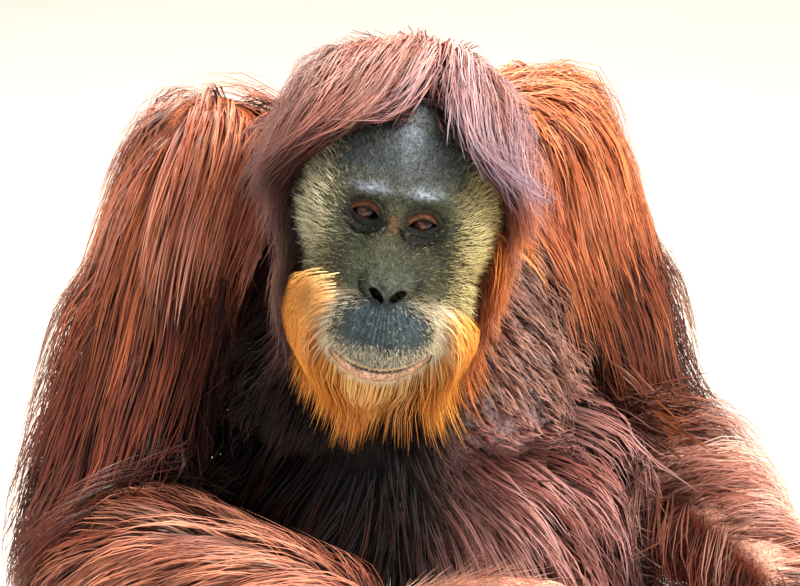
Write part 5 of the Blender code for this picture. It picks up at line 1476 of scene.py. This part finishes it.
def crown_colours(part, roots, normal):
    local = in_head(roots)
    x, y, z = local.T
    n = len(roots)
    fringe = ramp(0.040 - y, 0, 0.03) * ramp(z, 0.04, 0.07)
    low = ramp(np.where(x > 0, 0.050, 0.034) - z, 0, 0.05)
    temple = mix(np.tile(COLOURS["temple_dark"], (n, 1)), COLOURS["temple"], ramp(x, -0.03, 0.03))
    root = mix(np.tile(COLOURS["crown_root"], (n, 1)), temple * 0.5, low)
    # A painted lilac sheen on the hair of the animal's left side, strongest at the tips
    light = mix(np.tile(COLOURS["crown_tip"], (n, 1)), COLOURS["crown_lilac"], ramp(x, -0.01, 0.03))
    base = mix(np.tile(COLOURS["crown"], (n, 1)), COLOURS["crown_lilac"], 0.35 * ramp(x, -0.01, 0.03))
    # A painted sunlit highlight on the top and back of the crown, on its right half
    base = mix(base, COLOURS["painted_sunlight"], 0.50 * ramp(z, 0.075, 0.105) * ramp(y, 0.04, 0.09) * ramp(x, -0.045, 0.0))
    middle = mix(mix(base, COLOURS["fringe"], 0.7 * fringe), temple, low)
    tip = mix(mix(light, COLOURS["fringe"], 0.6 * fringe), temple, np.maximum(low, 0.85 * ramp(x, 0.050, 0.070)))
    # Painted shade over the right side of the head's hair, below its top
    shaded = 1 - 0.50 * ramp(-x, -0.005, 0.045)[:, None] * ramp(0.125 - z, 0, 0.04)[:, None]
    return root * shaded, middle * shaded, tip * shaded


def beard_shape(roots, normal, flow, lengths, depths, weights, clings, first):
    """The beard spreads from the mouth and hangs, forked below and shorter up the cheeks."""
    local = in_head(roots)
    bend = beard_bend(local)
    lips = head_zones(local)[3]
    turn = bend * np.sign(local[:, 0] - MOUTH_X)
    scale = np.interp(turn, (-145, -115, -90, -66, -46, -28, -14, -4, 10, 24, 40, 56, 70, 90, 115, 145),
                      (0.20, 0.32, 0.50, 0.92, 1.16, 1.30, 1.04, 0.98, 1.02, 1.14, 1.42, 1.32, 1.08, 0.72, 0.44, 0.28))
    scale = scale * (1 - 0.35 * ramp(lips, 1.1, 1.7) * ramp(bend, 40, 90))
    out = unit(flow * 0.9 + normal * np.interp(bend, (0, 60, 120), (0.62, 0.60, 0.34))[:, None])
    depths = depths * np.interp(bend, (0, 60, 90, 130), (1.0, 0.9, 0.65, 0.40))
    return lengths * scale, depths, weights, clings, out


def beard_colours(part, roots, normal):
    local = in_head(roots)
    lips = head_zones(local)[3]
    n = len(roots)
    wide = np.interp(beard_bend(local), (0, 40, 90, 140), (1.02, 1.03, 1.09, 1.22))
    inner = 1 - ramp(lips / wide, 0.94, 1.02)
    # Up the right cheek the hair starts cream along its inner edge too
    inner = np.maximum(inner, ramp(local[:, 0], -0.058, -0.042) * (local[:, 0] < 0) * ramp(beard_bend(local), 75, 95))
    root = mix(np.tile(COLOURS["beard"], (n, 1)), COLOURS["beard_root"], inner)
    middle = mix(np.tile(COLOURS["beard"], (n, 1)), COLOURS["beard_pale"], inner * 0.35)
    under_lip = (1 - ramp(beard_bend(local), 22, 46)) * 0.8
    under_lip = np.maximum(under_lip, 0.75 * ramp(beard_bend(local), 88, 128))
    root, middle = mix(root, COLOURS["beard_pale"], under_lip), mix(middle, COLOURS["beard_pale"], under_lip)
    return root, middle, mix(np.tile(COLOURS["beard_tip"], (n, 1)), COLOURS["beard"], inner * 0.6)


def short_hair(name, skin, tree, part, mask, count, length_of, colour_of, width, lift, material, chance, wander=0.25,
               steps=2):
    """Short single tufts over bare skin."""
    roots, faces = skin.scatter(mask, count, chance)
    normal, flow = skin.face_normal[faces], skin.face_flow[faces]
    flow = unit(flow - normal * (flow * normal).sum(1)[:, None])
    flow = unit(flow + chance.normal(0, wander, flow.shape))
    lengths = length_of(roots) * chance.uniform(0.6, 1.2, count)
    t = np.linspace(0, 1, steps + 1)[None, :, None]
    rise = (lift * t - 0.45 * lift * t * t)
    lines = roots[:, None] + (flow[:, None] * t + normal[:, None] * rise) * lengths[:, None, None]
    lines[..., 2] = np.maximum(lines[..., 2], 0.0015)
    leans = np.repeat(normal[:, None], steps + 1, axis=1)
    root, tip = colour_of(roots)
    tone = np.exp(chance.normal(0, 0.22, count))[:, None, None]
    tints = (root[:, None] + (tip - root)[:, None] * t) * tone
    marks = np.repeat(chance.random(count)[:, None, None], len(t[0]), axis=1)
    tints = np.concatenate([np.clip(tints, 0, 1), marks], axis=2)
    widths = np.tile(np.array(WIDTHS[len(t[0]) - 1]), (count, 1))
    return hair_piece(name, tree, lines, leans, widths, tints, place_on_unwrap(part, roots), width, 0.45, material)


def down_length(roots):
    local = in_head(roots)
    x, y, z = local.T
    lips = head_zones(local)[3]
    edge = ramp(np.abs(x), 0.044, 0.070)
    rim = np.exp(-((lips - 0.98) / 0.14) ** 2)
    return 0.0038 + 0.0085 * edge + 0.0090 * rim


def down_colours(roots):
    local = in_head(roots)
    x, y, z = local.T
    lips = head_zones(local)[3]
    edge = ramp(np.abs(x), np.where(x > 0, 0.042, 0.034), 0.072) * (1 - 0.6 * ramp(z, 0.02, 0.06))
    lots = np.random.default_rng(SEED).uniform(0, 1, (2, len(roots)))
    edge = np.clip(edge * (0.6 + 0.9 * lots[0]) + 0.22 * (lots[1] < 0.40), 0, 1)
    rim = 1 - ramp(np.abs(lips - 0.98), 0.08, 0.24)
    rim = np.maximum(rim, 0.75 * (lips < 1))
    n = len(roots)
    pale = mix(np.tile(COLOURS["down_cream"], (n, 1)), COLOURS["down_pale"], ramp(x, -0.02, 0.03))
    tip = mix(np.tile(COLOURS["down_dark"], (n, 1)), pale, edge)
    tip = mix(tip, COLOURS["lip_down"], rim * ramp(-z, 0.05, 0.07))
    return tip * 0.65, tip


def down_mask(skin, face, local, lips):
    x, y, z = local.T
    bare = np.exp(-(x / 0.021) ** 4 - ((z + 0.047) / 0.015) ** 4)
    lip = (1 - ramp(lips, 0.62, 0.95)) * ramp(-z, 0.05, 0.06)
    drop = z - mouth_line(x)
    mouth = np.exp(-((drop + 0.004) / 0.011) ** 4) * (np.abs(x - MOUTH_X) < MOUTH_HALF * 1.02)
    eyes = 0
    for side, sign in (("left", 1), ("right", -1)):
        eyes = np.maximum(eyes, 1 - ramp(np.hypot(x - sign * EYE_X, z - EYE_Z[side]), 0.012, 0.020))
    rim = 0.8 * np.exp(-((lips - 1.0) / 0.13) ** 2) * ramp(-z, 0.045, 0.06)
    edge = 0.75 + 1.2 * ramp(np.abs(x), 0.030, 0.066) + 3.4 * rim
    stubble = 2.6 * ramp(-z, 0.090, 0.108) * (drop > 0.002) * (lips < 1)
    lip = np.clip(lip - rim, 0, 1)
    return face * edge * np.clip(1 - bare - eyes - mouth, 0, 1) * (1 - 0.95 * lip) + stubble * face


def dress():
    nails = []
    skin_obj = whole_skin(nails)
    skin = Skin(skin_obj)
    paint_skin(skin_obj, skin)
    skin_obj.data.materials.clear()
    skin_obj.data.materials.append(skin_material())
    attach(skin_obj, "root")
    flesh = [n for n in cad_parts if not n.startswith("eye")]
    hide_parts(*flesh)
    eye_look = eye_material()
    for side in ("left", "right"):
        ball = eyeball(side)
        ball.data.materials.append(eye_look)
        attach(ball, "root")
        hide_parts(f"eye_{side}")
    plates = nail_plates(nails)
    plates.data.materials.append(nail_material())
    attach(plates, "root")
    tree = tuft_tree()
    coat = hair_material("long_coat_hair", 0.50, 0.28, 9.0)
    soft = hair_material("soft_beard_hair", 0.60, 0.05, 7.0)
    dim = hair_material("dark_belly_hair", 0.55, 0.10, 9.0, 0.22)
    down = hair_material("short_face_down", 0.60, 0.0, 1.0)
    chance = np.random.default_rng(SEED)
    scalp, beard, face, local, lips = head_masks(skin)
    made = []

    def grown(slot, *args, **kwargs):
        piece = coat_piece(*args, **kwargs)
        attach(piece, "root")
        made.append(piece)

    for side, more in (("right", 1.0), ("left", 0.92)):
        inner = ramp(skin.face_normal[:, 0] * (-1 if side == "left" else 1), 0.2, 0.8)
        arm = part_mask(skin, f"upper_arm_{side}") * (1 + 0.8 * ramp(skin.centre[:, 2], 0.56, 0.64) + 0.7 * inner)
        grown("coat_arm", f"coat_upper_arm_{side}", skin, tree, f"upper_arm_{side}", arm,
              (int(5200 * more), 8, 4, 0.0014, 0.170, 0.038, 0.45, 0.5, 0.015, 0.50, 0.45, 0.006), coat, chance,
              shape=arm_shape)
        ridge = np.exp(-((skin.face_normal[:, 0] + 0.70) / 0.22) ** 2) * (side == "left")
        fore = part_mask(skin, f"forearm_{side}") * (1 + 2.2 * ridge)
        grown("coat_arm", f"coat_forearm_{side}", skin, tree, f"forearm_{side}", fore,
              (3700, 8, 4, 0.0013, 0.130, 0.026, 0.75, 0.35, 0.014, 0.50, 0.45, 0.006), coat, chance,
              shape=forearm_shape)
        leg = part_mask(skin, f"thigh_{side}") + part_mask(skin, f"shin_{side}")
        grown("coat_leg", f"coat_leg_{side}", skin, tree, f"thigh_{side}", leg,
              (1850, 7, 4, 0.0020, 0.125, 0.026, 0.6, 0.4, 0.014, 0.60, 0.40, 0.006), coat, chance)
    sides = 1 + 1.5 * ramp(np.abs(skin.centre[:, 0]), 0.10, 0.14)
    grown("coat_belly", "coat_chest", skin, tree, "trunk", trunk_mask(skin, True, 0.425, 0.8),
          (4000, 6, 3, 0.0013, 0.038, 0.012, 0.5, 0.7, 0.012, 0.45, 0.5, 0.003), dim, chance, shape=trunk_shape)
    grown("coat_belly", "coat_belly", skin, tree, "trunk", trunk_mask(skin, True, -0.1, 0.425) * sides,
          (4600, 7, 4, 0.0014, 0.110, 0.024, 0.45, 0.5, 0.014, 0.40, 0.45, 0.006), dim, chance, shape=trunk_shape)
    grown("coat_back", "coat_back", skin, tree, "trunk", trunk_mask(skin, False, -0.1, 0.8) * sides,
          (2800, 8, 4, 0.0024, 0.160, 0.034, 0.45, 0.5, 0.016, 0.60, 0.40, 0.006), coat, chance, shape=trunk_shape)
    grown("coat_back", "coat_mantle", skin, tree, "mantle", mantle_mask(skin),
          (2900, 7, 5, 0.0016, 0.140, 0.017, 0.80, 1.0, 0.011, 0.45, 0.40, 0.003), coat, chance, shape=mantle_shape)
    front = skin_front(skin)
    for side, own in (("left", local[:, 0] > 0.010), ("right", local[:, 0] <= 0.010)):
        grown("coat_head", f"coat_crown_{side}", skin, tree, "head", scalp * front * own,
              (4400, 7, 4, 0.0010, 0.150, 0.036, 0.40, 0.45, 0.010, 0.30, 0.60, 0.007), coat, chance,
              colours=crown_colours, shape=crown_shape)
    grown("coat_head", "coat_nape", skin, tree, "head", scalp * (1 - front),
          (2100, 7, 4, 0.0014, 0.150, 0.029, 0.60, 0.70, 0.011, 0.40, 0.45, 0.006), coat, chance,
          colours=crown_colours, shape=crown_shape)
    grown("coat_head", "coat_beard", skin, tree, "head", beard,
          (7300, 6, 3, 0.0010, 0.067, 0.026, 1.1, 0.25, 0.007, 0.30, 0.35, 0.003), soft, chance,
          colours=beard_colours, shape=beard_shape)
    piece = short_hair("face_down", skin, tree, "head", down_mask(skin, face, local, lips), 13500,
                       down_length, down_colours, 0.0006, 0.40, down, chance, steps=1)
    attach(piece, "root")
    made.append(piece)
    for side in ("left", "right"):
        for kind in ("hand", "foot"):
            part = f"{kind}_{side}"
            a, b, _ = bone(part)
            back = unit(np.array(HAND_BACK[side])) if kind == "hand" else np.array((0, 0, 1.0))
            t = along_bone(part, skin.centre)[0]
            mask = part_mask(skin, part) * ramp(skin.face_normal @ back, -0.1, 0.5) * (1 - ramp(t, 0.45, 0.80))
            reach = 0.030 if kind == "hand" else 0.020
            piece = short_hair(f"coat_{part}", skin, tree, part, mask, 900, lambda r, reach=reach: np.full(len(r), reach),
                               lambda r: (np.tile(COLOURS["fore"], (len(r), 1)), np.tile(COLOURS["hand"], (len(r), 1))),
                               0.0009, 0.5, coat, chance, 0.18)
            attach(piece, "root")
            made.append(piece)
    total = 0
    for obj in [skin_obj] + made:
        obj.data.calc_loop_triangles()
        total += len(obj.data.loop_triangles)
        print(obj.name, len(obj.data.loop_triangles))
    print("triangles in all", total)


# Stage

def studio():
    floor = mesh_object("studio_floor", [(-30, -30, 0), (30, -30, 0), (30, 30, 0), (-30, 30, 0)], [(0, 1, 2, 3)])
    floor.data.materials.append(floor_material())
    world = bpy.data.worlds.new("studio")
    world.use_nodes = True
    world.node_tree.nodes["Background"].inputs[0].default_value = (*linear("#ECEDEE"), 1.0)
    world.node_tree.nodes["Background"].inputs[1].default_value = 0.45
    bpy.context.scene.world = world
    for name, place, aim, size, energy, colour in (
            ("key", (1.35, -1.30, 2.70), (0, -0.2, 0.5), 0.75, 135, "#FFF6EA"),
            ("top", (-0.7, 0.9, 2.6), (0, -0.05, 0.6), 0.8, 160, "#FFF2E2"),
            ("far", (0.4, 3.6, 2.6), (0.4, 3.2, 0), 2.5, 42, "#FFF8F0"),
            ("fill", (-1.6, -3.0, 1.4), (0, -0.2, 0.45), 2.2, 12, "#EEF2FF")):
        light = bpy.data.lights.new(name, "AREA")
        light.shape = "DISK"
        light.size = size
        light.energy = energy
        light.color = tuple(linear(colour))
        obj = bpy.data.objects.new(name, light)
        obj.location = place
        obj.rotation_mode = "QUATERNION"
        obj.rotation_quaternion = (Vector(place) - Vector(aim)).to_track_quat("Z", "Y")
        bpy.context.scene.collection.objects.link(obj)
    camera = bpy.data.cameras.new("camera")
    camera.lens, camera.sensor_width, camera.clip_end = 216.9, 36.0, 50.0
    obj = bpy.data.objects.new("camera", camera)
    back = Vector((0, -math.cos(math.radians(18)), math.sin(math.radians(18))))
    obj.location = Vector((0, -0.25, 0.5702)) + back * 4
    obj.rotation_mode = "QUATERNION"
    obj.rotation_quaternion = back.to_track_quat("Z", "Y")
    bpy.context.scene.collection.objects.link(obj)
    bpy.context.scene.camera = obj
    bpy.context.scene.view_settings.view_transform = "Standard"


dress()
studio()
